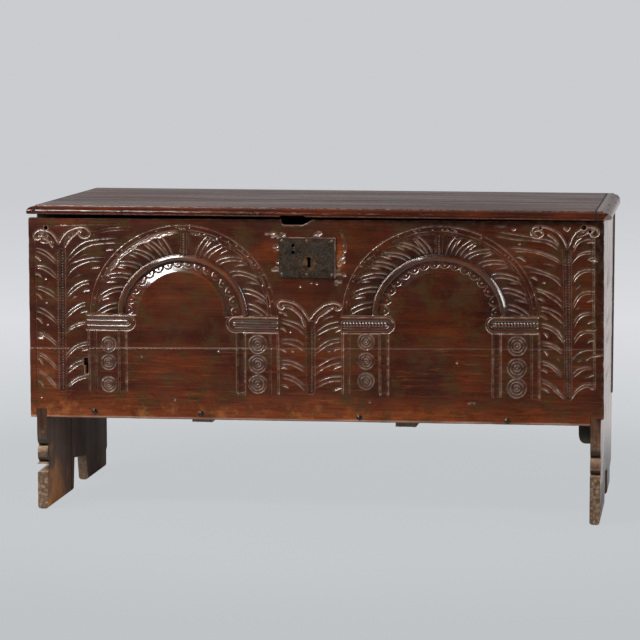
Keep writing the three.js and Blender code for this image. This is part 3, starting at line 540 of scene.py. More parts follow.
    a = np.radians(np.linspace(0.5, 179.5, 90))
    curve(a, ellipse_reach(a, outer), half=1.2, deep=1.3)
    for start, tip_angle in leaves:
        away = 1 if start > 90 else -1
        sweep(start, tip_angle, 0.03, 0.93, half=1.2, deep=1.8, start=0.08, end=0.15)
        sweep(start + 4.2 * away, tip_angle + 2.7 * away, 0.03, 0.88, half=1.2, deep=1.7, start=0.08, end=0.2)
    ordered = sorted(leaves)
    for (a0, t0), (a1, t1) in zip(ordered, ordered[1:]):
        if not a0 < 90 < a1:
            middle, swing = (a0 + a1) / 2, (t0 + t1 - a0 - a1) / 2
            sweep(middle + 0.45 * swing, middle + 0.75 * swing, 0.4, 0.8, half=1.7, deep=1.8, start=0.4, end=0.3)
    turn = np.radians(np.linspace(8, 172, 11))
    for a in (np.arange(lobes) + 0.5) * spacing:
        foot, low = ellipse_reach(a, roll) - roll_half, ellipse_reach(a, field)
        dot(*at(a, foot * 0.66 + low * 0.34), 1.5, 1.3)
        curve(a + spacing / 2 * 0.94 * np.cos(turn), foot - (foot - low) * 0.62 * (0.25 + 0.75 * np.sin(turn)),
              half=1.15, deep=1.4)
    generator = np.random.default_rng(int(abs(cx)))
    for a in generator.uniform(0.1, 3.05, 34):
        r = ellipse_reach(a, outer) * 0.5 + ellipse_reach(a, rim) * 0.5 + generator.uniform(-2, 2)
        dot(*at(a, r), 1.5, 1.3)
    foot = cz + roll[2] + roll_half
    for side in key_lines:
        stroke([(cx + side, foot), (cx + side * 1.15, cz + rim[2] - 4)], half=1.1, deep=1.2, end=0.1)
    for z in np.arange(foot + 4, cz + rim[2] - 6, 5.2):
        dot(cx + key_dots, z, 1.7, 1.2)


def impost(left, right, top, low, curl, beaded):
    """Three reeds that curl round a boss at the end towards the arch's field. top and low are levels at each end."""
    half = (top[0] - low[0]) / 2
    level = lambda x: np.interp(x, [left, right], [(top[0] + low[0]) / 2, (top[1] + low[1]) / 2])
    where = window(left - 2, right + 2, min(low) - 3, max(top) + 3)
    x, z = X[where], Z[where]
    end = right - half if curl > 0 else left + half
    off = np.hypot(np.maximum((x - end) * curl, 0), z - level(x)) / half
    across = np.where(off < 1 / 3, off * 3, np.abs(off - 2 / 3) * 3)
    reed = 0.2 + 3.4 * (1 - bowl(np.clip(across, 0, 1)))
    if beaded:
        reed = reed + 1.1 * (off < 1 / 3) * (0.5 + 0.5 * np.cos(x * 2 * np.pi / 6.5))
    ground[where] = np.where((off < 1) & (x > left) & (x < right), reed, ground[where])
    straight = (left, end) if curl > 0 else (end, right)
    turn = np.radians(np.linspace(-90, 90, 13))
    for line in ([(x, level(x) + half) for x in straight], [(x, level(x) - half) for x in straight],
                 [(end + curl * half * math.cos(a), level(end) + half * math.sin(a)) for a in turn]):
        stroke(line, half=1.5, deep=1.8)
    dot(end + curl * 1.5, level(end), 2.4, 1.6)


def pilaster(lines, top, low, hollow, x, heights, rings):
    """Upright lines (x at the top, x low down, depth), a hollow (left, right, depth) and roundels at x of rings."""
    for x_top, x_low, deep in lines:
        stroke([(x_top, top), (x_low, low)], half=1.4, deep=deep, end=0.05)
    left, right, deep = hollow
    where = window(left, right, low + 2, top)
    off = (X[where] - (left + right) / 2) / ((right - left) / 2)
    fade = ease(Z[where], low + 2, low + 10)
    lift(ground, where, deep * bowl(off) * fade)
    lift(shade, where, 0.12 * fade * np.clip(1.4 - 1.4 * np.abs(off), 0, 1))
    for z in heights:
        where = around([(x, z)], rings[0] + 3)
        off = np.hypot(X[where] - x, Z[where] - z) - rings[0]
        lift(shade, where, 0.34 * np.clip(1 - off / 2.5, 0, 1))
        for radius in rings:
            ring(x, z, radius)
        dot(x, z, 2.2, 1.3)


# Curves of the trees' cuts and of their sunk grounds, as x,z. The three trees have paired leaves, thin strokes,
# short broad ticks and curls at the top
PAIRS_LEFT = """
-587,555 -572,552 -557,544 -543,531
-587,549 -574,545 -559,537 -543,523
-586,518 -570,517 -554,511 -542,499
-586,513 -571,511 -556,503 -541,491
-585,474 -570,473 -553,466 -540,455
-585,470 -571,466 -555,458 -540,448
-586,430 -571,427 -554,416 -540,402
-586,422 -572,418 -556,409 -539,395
-582,377 -565,374 -552,365 -538,353
-582,370 -567,369 -552,359 -537,345
-584,335 -569,330 -554,318 -540,302
-584,328 -571,326 -555,313 -539,294
-585,299 -570,292 -554,278 -540,261
-584,294 -571,288 -557,274 -539,255
-409,577 -442,575 -477,569 -499,555 -517,534
-403,568 -438,566 -468,561 -496,545 -518,524
-438,537 -462,536 -484,532 -499,527
-443,529 -472,527 -496,517 -510,506 -520,492
-465,489 -484,486 -503,476 -518,459
-466,482 -484,479 -501,468 -521,449
-475,443 -488,440 -500,433 -510,426
-476,436 -488,433 -500,426 -511,417
-476,402 -493,398 -504,394 -510,390
-476,398 -491,394 -504,389 -512,384
-473,359 -489,356 -506,347 -522,331
-473,354 -489,350 -504,342 -522,323
-482,320 -494,318 -505,312 -516,303
-481,313 -492,311 -505,303 -517,293
-474,289 -490,286 -502,280 -514,270
-474,284 -490,280 -502,274 -514,265
"""
PAIRS_CENTRE = """
-69,415 -53,412 -28,404 -14,391
-70,407 -55,405 -30,394 -12,377
-68,371 -49,372 -29,369 -13,357
-67,364 -48,363 -29,356 -11,343
-66,328 -50,328 -29,321 -11,310
-66,320 -48,320 -29,313 -11,300
-65,299 -48,297 -27,286 -10,269
-65,291 -50,289 -29,279 -9,257
61,411 44,409 28,403 14,393
61,402 42,397 25,390 7,379
62,376 45,374 30,369 17,360
62,369 44,366 25,357 8,343
63,338 42,334 25,325 9,315
63,327 44,322 27,315 9,302
64,297 42,296 25,291 7,281
64,287 44,287 25,281 8,271
"""
PAIRS_RIGHT = """
513,563 500,577 484,585 464,588 427,594 393,599 376,601
512,559 498,570 483,578 457,583 420,585 393,589 366,592
513,537 503,547 485,555 466,561 444,565 420,568 398,567
512,532 502,542 478,553 454,560 431,561 407,561
513,498 505,508 488,516 466,524 444,530 427,532
514,484 506,498 487,511 467,517 451,520 439,519
515,457 506,467 489,477 475,482 457,488
517,443 506,457 489,468 474,478 458,481
517,424 508,435 489,444 474,448 465,448
518,412 506,424 489,436 477,440 466,441
519,380 506,400 487,411 468,415
520,373 507,390 490,403 469,408
516,358 502,369 487,375 470,376
516,351 505,361 490,368 471,370
516,309 505,322 487,334 470,338
517,302 507,312 490,327 472,331
520,263 505,280 488,294 471,301
523,258 506,272 489,287 472,294
533,559 543,577 557,586 575,589
532,539 543,555 560,563 576,564
530,534 540,548 554,557 576,559
533,504 543,519 558,526 577,527
534,498 545,513 559,521 577,522
534,452 542,469 555,480 577,483
535,444 545,464 558,475 577,477
535,414 544,430 559,438 578,439
537,405 546,423 560,433 579,434
536,380 545,395 559,402 579,402
537,372 548,389 562,397 580,397
533,339 545,353 562,361 579,362
534,310 546,322 560,327 579,328
535,303 549,315 561,322 579,323
535,267 546,282 560,291 580,293
532,258 545,275 560,285 581,289
"""
THIN = """
-466,545 -481,542 -494,536
-482,501 -496,498 -506,492
-494,456 -503,452 -511,446
-382,602 -422,599 -465,591
-382,596 -422,593 -466,585
-585,601 -486,604 -395,607
57,423 36,420 21,413 13,406
40,349 28,348
17,376 11,372
509,522 495,533 478,537 458,542
511,481 506,486 501,490
515,404 511,409 506,412
342,610 393,611 447,611
537,481 546,491 555,499
538,442 546,448 553,453
543,335 551,340 560,344
504,390 510,385 516,378
503,346 509,340 515,334
535,580 540,587 547,591
557,303 566,306 575,309
"""
TICKS = """
-585,537 -578,533 -575,528
-586,500 -578,499 -572,493
-584,458 -577,455 -572,447
-584,407 -577,404 -572,396
-582,322 -576,318 -572,309
-581,273 -574,270 -571,261
-434,551 -427,553 -419,553
-464,513 -456,515 -449,516
-483,464 -478,467 -471,467
-491,418 -485,422 -476,423
-487,340 -480,342 -474,343
-505,280 -508,276 -511,272
-565,490 -562,489
-564,440 -561,439
-562,394 -560,393
-506,306 -502,305
-67,394 -60,394 -54,387
-67,351 -60,350 -54,345
-64,311 -60,314 -53,310
-65,275 -57,275 -50,271
60,394 53,392 49,389
61,355 50,354 45,349
63,319 51,316 45,311
64,273 53,271 46,267
-48,387 -44,387
-42,347 -40,347
-69,429 -63,427
-59,427 -53,421
421,549 429,548 438,541
448,508 456,508 464,502
464,465 470,465 478,459
469,430 476,429 483,423
477,395 482,392 485,386
478,358 483,355 485,349
473,319 480,318 485,313
473,281 482,279 488,273
563,580 568,582 576,582
564,544 567,549 576,551
564,460 570,463 577,465
566,416 572,420 579,422
566,376 570,381 579,382
564,341 574,348 598,352
568,306 573,309 579,311
411,606 414,604 418,606
424,576 428,576
474,498 479,498
"""
CURLS = """
-536,563 -540,574 -550,586 -566,592 -579,591 -588,583 -584,573 -575,574 -574,581
-535,563 -529,576 -515,590 -497,598 -478,598 -469,589 -472,579 -484,577 -491,584 -486,592
-522,556 -517,568 -506,580 -494,588
-548,556 -557,569 -569,576
-6,413 -21,435 -40,448 -64,452 -71,447 -69,437 -62,435 -58,440 -62,443
-15,399 -23,419 -38,433 -54,440
-6,413 6,429 25,444 45,449 59,444 58,436 51,434 47,438 51,440
7,407 14,420 28,430 41,438
522,569 516,584 503,600 484,609 469,612 456,611 450,604 451,594 459,589 469,591 473,598 466,604 458,603 456,598 461,594
505,576 496,588 483,596
525,571 532,589 542,603 557,611 572,612 584,606 584,596 575,592 570,598 574,605
516,611 522,604 528,611
535,571 541,583 551,591
"""
SUNK_GROUNDS = """
-522,558 -517,577 -501,591 -488,594 -495,585 -506,577 -515,565
-545,565 -560,583 -575,587 -581,579 -566,577 -554,568
14,420 27,434 40,440 45,439 34,431 21,422
-62,442 -49,442 -38,437 -47,438 -56,437
542,591 551,602 568,608 577,605 565,599 554,594
"""

LEFT_LEAVES = [(169.7, 178), (155.2, 167.7), (142.2, 152.6), (130.1, 142), (116.4, 127.9), (105.9, 114.7),
               (99.8, 105.8), (78.7, 73.1), (70.8, 60.8), (59, 43.2), (43.5, 26.7), (25.3, 12.2), (11.6, 0.6)]
RIGHT_LEAVES = [(168.5, 177), (154.9, 165.6), (141.2, 154.8), (131, 141.8), (116.2, 133.3), (102.9, 118.6),
                (96.3, 105.2), (84.5, 78.1), (76, 67.2), (68, 52.4), (54.5, 39.6), (39.8, 25.5), (25.7, 13.8),
                (11.4, 1.2)]
arch(-271.5, 416.3, (198.5, 196.3, 189.5), (187, 185, 178), (132, 129, 120), 5.6, (96.2, 87, 92.5), LEFT_LEAVES, 16,
     (2.5, 9, (-5.3, 6.2, 10.4), 1.3), (0.54, 0.5, 0.46))
arch(262.5, 423.8, (200.9, 203.1, 186.5), (190, 192, 175), (130, 132.5, 120.3), 5.6, (92.3, 96, 92.4), RIGHT_LEAVES, 16,
     (-1, 8, (-7, 5), -1), (0.2, 0.22, 0.45))
impost(-476.7, -374, (416.5, 416.5), (384.5, 384.5), 1, False)
impost(-178, -72.5, (417, 417), (385, 385), -1, False)
impost(61.6, 170, (420.5, 422), (387, 388.5), 1, True)
impost(360, 465, (425, 427), (391.5, 393.5), -1, True)
pilaster([(-472.7, -471, 1.8), (-457.5, -457, 1.4), (-407.7, -407.7, 1.7), (-392.7, -392, 1.9)], 384, 250,
         (-407.7, -392.7, 1.3), -430.6, (354.6, 317.1, 270.4), (15.5, 9.5, 4.5))
pilaster([(-157.3, -157, 1.9), (-141.1, -141, 1.9), (-87.9, -87, 1.5), (-71.8, -70, 2.2)], 385, 252,
         (-157.3, -141.1, 2.4), -114.3, (360.8, 319.6, 277.4), (18.5, 12.5, 6.5))
pilaster([(63.8, 64, 2.2), (77.1, 77, 1.6), (140.2, 142, 1.9), (157.7, 158, 2.1)], 387, 256,
         (140.2, 157.7, 1.6), 112, (370.4, 330.1, 288.4), (16.6, 10.8, 5))
pilaster([(373.9, 374, 2.0), (389, 390, 2.0), (452.2, 454, 1.6), (467.6, 469, 2.0)], 392, 256,
         (373.9, 389, 2.2), 422.7, (367.7, 321.5, 280.3), (19.3, 13, 6.5))


def reaching(points, trunk):
    """The same cut, carried on to the trunk at x."""
    (ax, az), (bx, bz) = points[-2:]
    more = min(abs(bx - trunk) - 7, 16)
    if more <= 0:
        return points
    return [*points, (bx + math.copysign(more, bx - ax), bz + 1.3 * more * (bz - az) / abs(bx - ax))]


for trunk, pairs in ((-530, PAIRS_LEFT), (-3, PAIRS_CENTRE)):
    for points in read(pairs):
        stroke(reaching(points, trunk), half=1.2, deep=1.6, start=0.12, end=0.25)
strokes(PAIRS_RIGHT, half=1.2, deep=1.6, start=0.12, end=0.12)
strokes(THIN, half=1.2, deep=1.2, start=0.3, end=0.5)
strokes(TICKS, half=2.0, deep=2.4, start=0.5, end=0.3)
strokes(CURLS, half=1.8, deep=2.4, start=0.06, end=0.1)
SMOOTH_GROUND = 2  # the one that isn't punched
for n, points in enumerate(read(SUNK_GROUNDS)):
    where, hit = inside(points)
    grit = rough_at(where, 2.4, 2.4, 40 + n) * (n != SMOOTH_GROUND)
    ground[where] = np.where(hit, 1.5 + 0.6 * grit, ground[where])
    lift(glint, where, hit * np.clip(0.15 + 1.5 * grit, 0, 0.8))

# Trunks: the top and the foot of the left line and of the right one, rows of beads (x at the top, x at the foot), depth
trunks = [((-534.3, 553), (-534.6, 252), (-522.1, 553), (-523.8, 252), [(-537.5, -537), (-527.5, -528.5)], 0.9),
          ((515.4, 565), (523.7, 258), (528.9, 565), (534.1, 258), [(519, 526.5), (525.5, 531)], 0.8),
          ((-11.4, 400), (-8.6, 258), (4.2, 410), (4.7, 264), [(-1, -1)], 1.2)]
for a, b, c, d, beads, deep in trunks:
    for ends in ([a, b], [c, d]):
        stroke(ends, half=1.3, deep=1.3, end=0.05)
    where = window(min(a[0], b[0]), max(c[0], d[0]), b[1], c[1])
    share = (Z[where] - b[1]) / (a[1] - b[1])
    left, right = b[0] + (a[0] - b[0]) * share, d[0] + (c[0] - d[0]) * share
    hollow = bowl((X[where] - (left + right) / 2) / ((right - left) / 2))
    lift(ground, where, deep * hollow)
    lift(shade, where, 0.3 * hollow)
    for x_top, x_low in beads:
        for z in np.arange(b[1] + 8, a[1] - 4, 5.6):
            dot(x_low + (x_top - x_low) * (z - b[1]) / (a[1] - b[1]), z, 1.35, 1.2)

# The margins' lines
stroke([(576.4, 589), (578, 430), (581.9, 280)], half=1.4, deep=2.1, end=0.05)
stroke([(-587.5, 590), (-586, 420), (-584.3, 228)], half=1.1, deep=1.1, end=0.1)


def scar(x, z, width, height, seed):
    """A torn, scraped patch."""
    where = window(x - width, x + width, z - height, z + height)
    off = np.hypot((X[where] - x) / width, (Z[where] - z) / height)
    edge = np.clip(1.1 - off - 0.8 * rough_at(where, 6, 3.5, seed), 0, 1)
    lift(cuts, where, 3 * edge ** 0.7 * (0.55 + 0.45 * rough_at(where, 5, 2.6, seed + 1)))
    patchy = np.clip(0.35 + 0.9 * rough_at(where, 6, 2.6, seed + 7), 0, 1)
    lift(raw, where, 0.9 * patchy * np.clip(edge * 2.5, 0, 1))


# Scars round the plate, then single ones: x, z, width and height
scars = [(66, 567, 3, 2), (68, 556, 3, 3), (61, 540, 3, 4), (57, 529, 3, 3), (54, 520, 3, 3), (-76, 588, 22, 7),
         (-70, 561, 11, 8), (-72, 518, 13, 4.5), (-70, 533, 4, 7), (60, 509, 12, 4.5), (55, 490, 8, 5), (12, 591, 9, 6),
         (64, 536, 4, 9), (-577, 366, 8, 5), (577, 545, 8, 3.5), (-566, 567, 9, 3), (580, 404, 5, 5), (576, 284, 8, 6),
         (330, 246, 8, 2)]
for n, place in enumerate(scars):
    scar(*place, 60 + 2 * n)
stroke([(56.8, 602), (63.7, 588), (68.9, 560), (56.4, 539), (49.7, 521), (60.6, 510)], half=1.8, deep=1.3, start=0.1,
       end=0.1)

# Holes, small pits, and two slots beside the left pilaster
for x, z, radius in ((-562, 596, 4), (556, 610, 5), (468, 608, 2.6), (568, 602, 2.8)):
    dot(x, z, radius, 11)
for x, z in ((-25, 482), (-1.5, 490), (9.6, 488), (-575.8, 239.5), (-197, 345), (-290, 240), (120, 245), (-360, 330),
             (300, 330), (-40, 452)):
    dot(x, z, 2.2, 1.5)
for limits in ((-484, -474.5, 308, 324.5), (-480.5, -474, 290.5, 309)):
    cuts[window(*limits)] = 15

# Dents and scratches of use
generator = np.random.default_rng(21)
for _ in range(110):
    x, z = generator.uniform(-590, 590), generator.uniform(205, 612)
    dot(x, z, generator.uniform(0.8, 1.3), generator.uniform(0.3, 0.8))
for _ in range(22):
    x, z, run = generator.uniform(-580, 560), generator.uniform(206, 610), generator.uniform(8, 60)
    ends = (x, z), (x + run, z + generator.uniform(-2, 2))
    stroke(ends, half=0.9, deep=generator.uniform(0.2, 0.4), start=0.4, end=0.4)

cuts *= 1 + 0.22 * rough_field(X, Z, 3.2, 3.2, 3)
relief = ground + cuts + 0.22 * (1 + rough_sum(X, Z, 22, 8, stretch=4.0)) + 0.05 * np.abs(rough_field(X, Z, 40, 2.2, 9))


def blurred(field, steps):
    """A box blur, done twice, over steps cells each way."""
    wide = 2 * steps + 1
    for axis in (0, 1, 0, 1):
        margins = [(0, 0), (0, 0)]
        margins[axis] = (steps + 1, steps)
        total = np.cumsum(np.pad(field, margins, "edge"), axis)
        count = total.shape[axis]
        field = (np.take(total, range(wide, count), axis) - np.take(total, range(count - wide), axis)) / wide
    return field


shallow = np.minimum(relief, 3)
near, far = blurred(shallow, 3), blurred(shallow, 12)
# Painted shade in the cuts and recesses, with the painted shade laid on above added in; raised places are lighter with
# wear
shade_and_dust = np.clip((shallow - near) * 1.3, 0, 1) * 0.8 + np.clip((shallow - far) * 0.4, 0, 1) * 0.5 + shade
wear_and_highlight = np.clip((near - shallow) * 1.5 - 0.22, 0, 0.7)
# Painted highlights on the walls of the cuts that face up or sideways, with the glints laid on above
slope_z, slope_x = np.gradient(np.minimum(blurred(cuts, 1), 8), PITCH)
lit = np.maximum(ease(slope_z + 0.6 * np.abs(slope_x), 0.22, 0.7), glint)
lit *= np.clip(0.75 + 0.5 * rough_field(X, Z, 11, 11, 33), 0, 1) * np.clip(3 - blurred(cuts, 2), 0, 1)


def sample(field, x, z):
    """Reads a field at places between its cells."""
    u = np.clip((x - XS[0]) / PITCH, 0, len(XS) - 1.001)
    v = np.clip((z - ZS[0]) / PITCH, 0, len(ZS) - 1.001)
    i, j = u.astype(int), v.astype(int)
    return blended(lambda p, q: field[q, p], i, j, u - i, v - j)


# ---------------------------------------------------------------- the two carved planks

def build_mesh(name, vertices, faces, materials, smooth=True, slots=0, fields=None):
    """An object from vertices in metres and faces of 3 or 4 corners, with fields kept at its vertices."""
    mesh = bpy.data.meshes.new(name)
    mesh.from_pydata(vertices, [], faces)
    for material in materials:
        mesh.materials.append(material)
    mesh.polygons.foreach_set("material_index", np.full(len(faces), slots, np.int32))
    mesh.polygons.foreach_set("use_smooth", np.full(len(faces), smooth, bool))
    for key, values in (fields or {}).items():
        mesh.attributes.new(key, "FLOAT", "POINT").data.foreach_set("value", np.asarray(values, np.float32))
    mesh.update()
    made = bpy.data.objects.new(name, mesh)
    scene.collection.objects.link(made)
    return made


def marks(length, pitch):
    """Places along a side, closer at its ends."""
    fine = np.array([0, 0.3, 0.8, 1.5, 2.4])
    middle = np.linspace(3.4, length - 3.4, int((length - 6.8) / pitch) + 1)
    return np.concatenate([fine, middle, length - fine[::-1]])


def rounding(distance, radius):
    """How far a rounded arris lies behind the face at a distance from the edge."""
    left = np.clip(radius - distance, 0, radius)
    return radius - np.sqrt(np.clip(radius ** 2 - left ** 2, 0, None))


# The planks' outlines. The lines across hang out of level and the hasp's recess is in the top one

def recess(x):
    return np.interp(x, [-65.6, -64.4, -58, -22, -14, 0], [0, 8, 11, 11, 8, 0])


def top_line(x):
    return 617 + 6.5 * (x - FRONT_LEFT) / FRONT_LENGTH - recess(x) - 0.35 * (1 + rough_sum(x, x * 0, 30, 71))


def joint_line(x):
    return 342.9 + 19.5 * (x - FRONT_LEFT) / FRONT_LENGTH


def bottom_line(x):
    return 196 + 9 * (x - FRONT_LEFT) / FRONT_LENGTH + 0.5 * (1 + rough_sum(x, x * 0, 55, 72))


def right_line(z):
    worn_away = 0.7 * (1 + rough_sum(z * 0, z, 12, 73)) + 1.2 * np.clip(rough_field(z * 0, z, 26, 26, 74) - 0.35, 0, 1)
    return 602 - 5 * (z - 205) / 418 - worn_away


def left_line(z):
    return FRONT_LEFT + 0.4 * (1 + rough_sum(z * 0, z, 16, 75))


# Patches of the front that are more or less orange: x, z, width, height and by how much
WARM_PATCHES = [(-560, 285, 34, 70, 0.45), (-270, 300, 130, 42, 0.3), (-30, 500, 50, 50, 0.2), (262, 480, 70, 60, 0.1),
                (-85, 560, 30, 20, 0.3), (560, 250, 50, 40, 0.1), (-180, 515, 50, 40, 0.35), (590, 430, 14, 160, -0.25),
                (-270, 400, 90, 50, -0.1), (262, 310, 90, 45, -0.15), (57, 545, 9, 30, 0.9), (-40, 290, 50, 40, 0.3),
                (430, 580, 160, 20, -0.2), (-300, 600, 260, 18, -0.1), (470, 320, 60, 40, 0.1)]


def warmth(x, z):
    """Where the front is orange rather than brown: low on the chest and in worn patches."""
    warmer = 0.14 + 0.6 * ease(-z, -268, -208)
    for px, pz, width, height, more in WARM_PATCHES:
        warmer = warmer + more * np.exp(-((x - px) / width) ** 2 - ((z - pz) / height) ** 2)
    return np.clip(warmer + 0.26 * rough_sum(x, z, 80, 81, stretch=2.2), 0, 1)


def arris_wear_and_highlight(x, z, above):
    """Painted highlights on the rubbed bottom edge and on the upper plank's edge at the joint, brighter in some places
    than in others.
    """
    along = np.clip(0.55 + 0.6 * rough_sum(x, z * 0, 60, 85), 0, 1)
    on_field = ease(x, -470, -400) - ease(x, -200, -60)
    seam = np.exp(-(above / 1.4) ** 2) * (z > 330) * (0.3 + 0.7 * on_field) * np.clip(0.3 + along, 0, 1)
    return along * np.exp(-((above - 3.6) / 1.2) ** 2) * (z < 215) + seam


def back_triangles(points, edges):
    """Fills the flat back between its outlines."""
    bm = bmesh.new()
    made = [bm.verts.new((p[0], 0, p[1])) for p in points]
    bm.verts.index_update()
    for a, b in edges:
        bm.edges.new((made[a], made[b]))
    filled = bmesh.ops.triangle_fill(bm, use_beauty=False, use_dissolve=False, edges=bm.edges[:], normal=(0, 1, 0))
    faces = []
    for face in (g for g in filled["geom"] if isinstance(g, bmesh.types.BMFace)):
        face.normal_update()
        order = [v.index for v in face.verts]
        faces.append(order if face.normal.y > 0 else order[::-1])
    bm.free()
    return np.array(faces)


def front_fields(x, z, above, edge):
    """What the carved oak's material reads at places of the front that lie above the plank's lower side."""
    below = top_line(x) - z
    beside = right_line(z) - x
    edge_wear = np.clip(edge * 1.3, 0, 0.8) * np.clip(0.6 + rough_field(x, z, 9, 9, 95), 0, 1)
    # Painted shadow under the lid's overhang, stronger to the right; the right margin and the top right are darker too
    lid_shadow = 0.9 * np.exp(-np.clip(below, 0, None) / 11) * np.clip(0.5 + x / 800, 0, 1)
    margin = 0.5 * ease(x, 572, 584) * ease(z, 240, 480) + 0.25 * ease(x, 430, 580) * ease(z, 430, 600)
    in_recess = (x > -68) * (x < 6) * np.clip(1 - below / 4.5, 0, 1) * np.clip(0.7 + rough_field(x, z, 9, 3, 97), 0, 1)
    flecks = np.exp(-np.clip(beside, 0, None) / 2.5) * np.clip(1.6 * rough_field(x, z, 4, 5, 98) - 0.2, 0, 1)
    scraped = np.maximum(in_recess, flecks * ease(-z, -520, -420))
    return {"shade_and_dust": np.clip(sample(shade_and_dust, x, z) + np.maximum(lid_shadow, margin), 0, 1),
            "wear_and_highlight": np.clip(sample(wear_and_highlight, x, z) + edge_wear, 0, 1),
            "lit": np.maximum(sample(lit, x, z), arris_wear_and_highlight(x, z, above)),
            "raw": np.maximum(sample(raw, x, z), 0.4 * scraped)}


CARVED_PITCH = 1.05


def plank(name, low, high, height, arris, gone, snaps):
    """A carved plank: the relief in front, walls round it and its openings, and a flat back.

    low and high are its lower and upper sides. arris gives the radii of its lower, upper, left and right edges,
    gone tells where it is cut away, and snaps are the openings' sides: an axis, a place, a start and an end.
    """
    s, t = np.meshgrid(marks(FRONT_LENGTH, CARVED_PITCH) / FRONT_LENGTH, marks(height, CARVED_PITCH) / height)
    x = FRONT_LEFT + FRONT_LENGTH * s
    for _ in range(2):
        dip = recess(x) * (high is top_line)
        z = low(x) + t * (high(x) + dip - low(x)) - dip * np.clip((t - 0.85) / 0.15, 0, 1)
        x = left_line(z) + s * (right_line(z) - left_line(z))
    for kind, place, start, stop in snaps:
        along, other = (x, z) if kind == "x" else (z.T, x.T)
        middle = np.argmin(np.abs(other[:, along.shape[1] // 2] - (start + stop) / 2))
        at = np.argmin(np.abs(along[middle] - place))
        rows = (other[:, at] > start - 0.7) & (other[:, at] < stop + 0.7)
        along[rows, at - 1] = np.minimum(along[rows, at - 1], place - 0.25)
        along[rows, at + 1] = np.maximum(along[rows, at + 1], place + 0.25)
        along[rows, at] = place
    jag = 1 + 0.55 * rough_sum(x, z, 14, 91, stretch=1.5)
    distances = (z - low(x), high(x) - z, x - left_line(z), right_line(z) - x)
    edge = sum(rounding(distance, radius * jag) for distance, radius in zip(distances, arris))
    deep = np.minimum(sample(relief, x, z) + edge, FRONT_THICK - 2)

    # Cells of the front that stay, and the sides of those at the rim
    order = np.arange(x.size).reshape(x.shape)
    corners = order[:-1, :-1], order[:-1, 1:], order[1:, 1:], order[1:, :-1]
    kept = ~gone((x[:-1, :-1] + x[1:, 1:]) / 2, (z[:-1, :-1] + z[1:, 1:]) / 2)
    padded = np.pad(kept, 1)
    beside = padded[:-2, 1:-1], padded[1:-1, 2:], padded[2:, 1:-1], padded[1:-1, :-2]
    front = np.stack([corner[kept] for corner in corners], 1)
    rim = np.concatenate([np.stack([p[kept & ~there], q[kept & ~there]], 1)
                          for there, p, q in zip(beside, corners, corners[1:] + corners[:1])])
    behind = np.unique(rim)
    used, front_index = np.unique(front, return_inverse=True)
    x, z, deep, edge = (field.ravel() for field in (x, z, deep, edge))
    place = np.stack([x[used], deep[used], z[used]], 1)
    back = np.stack([x[behind], np.full(len(behind), FRONT_THICK), z[behind]], 1)
    at, at_back = np.searchsorted(used, rim), np.searchsorted(behind, rim)
    walls = np.hstack([at[:, ::-1], at_back + len(used)])
    fill = back_triangles(back[:, [0, 2]], at_back) + len(used)
    faces = [*front_index.reshape(front.shape), *walls, *fill]
    flat_faces, back_faces = np.arange(len(faces)) >= len(front), np.arange(len(faces)) >= len(faces) - len(fill)
    fields = front_fields(x[used], z[used], z[used] - low(x[used]), edge[used])
    fields = {key: np.concatenate([values, np.zeros(len(back))]) for key, values in fields.items()}
    fields["warm"] = np.concatenate([warmth(x[used], z[used]), warmth(x[behind], z[behind])])
    made = build_mesh(f"front_board_{name}_carved", (np.concatenate([place, back]) + [OVER_X, OVER_Y, 0]) / 1000, faces,
                      [carved[name], dry_along["x"]], ~flat_faces, back_faces, fields)
    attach(made, "chest")
    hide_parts(f"front_board_{name}")


HALF_JOINT = 0.15
# The lock's opening, and the end boards' notches in the lower plank
OPENING = -57.3, 37.3, 515.7, 574.3
NOTCH_LEFT = -586.6, -564.4, 215.4
NOTCH_RIGHT = 573.4, 595.6, 220.6
BELOW = 190


def upper_gone(x, z):
    left, right, low, high = OPENING
    return (x > left) & (x < right) & (z > low) & (z < high)


def lower_gone(x, z):
    notches = [(x > left) & (x < right) & (z < high) for left, right, high in (NOTCH_LEFT, NOTCH_RIGHT)]
    past = x - NOTCH_RIGHT[1]
    ear = (past >= 0) & (z < 217.1 + past * 0.92 + 1.2 * rough_field(x, z, 3, 3, 96))
    return notches[0] | notches[1] | ear


plank("upper", lambda x: joint_line(x) + HALF_JOINT, top_line, 268, (0.8, 1.8, 1.8, 2.2), upper_gone,
      [("x", side, *OPENING[2:]) for side in OPENING[:2]] + [("z", level, *OPENING[:2]) for level in OPENING[2:]])
plank("lower", bottom_line, lambda x: joint_line(x) - HALF_JOINT, 152, (3.2, 0.9, 1.8, 2.2), lower_gone,
      [("x", side, BELOW, notch[2]) for notch in (NOTCH_LEFT, NOTCH_RIGHT) for side in notch[:2]]
      + [("z", notch[2], *notch[:2]) for notch in (NOTCH_LEFT, NOTCH_RIGHT)])


# ---------------------------------------------------------------- the other CAD pieces, with worn arrises

SHARP = 0.45        # the angle from which an edge is an arris
TOE = 0.06, 0.19    # the heights between which the feet's outline has painted shade on faces that look down and a painted highlight on faces that look up, in metres


def cut_off(bm, place, facing):
    """Cuts a corner off at a plane and closes the cut."""
    cut = bmesh.ops.bisect_plane(bm, geom=bm.verts[:] + bm.edges[:] + bm.faces[:], dist=1e-6, plane_co=place,
                                 plane_no=facing, clear_outer=True)
    open_edges = [g for g in cut["geom_cut"] if isinstance(g, bmesh.types.BMEdge)]
    return bmesh.ops.holes_fill(bm, edges=open_edges, sides=0)["faces"]


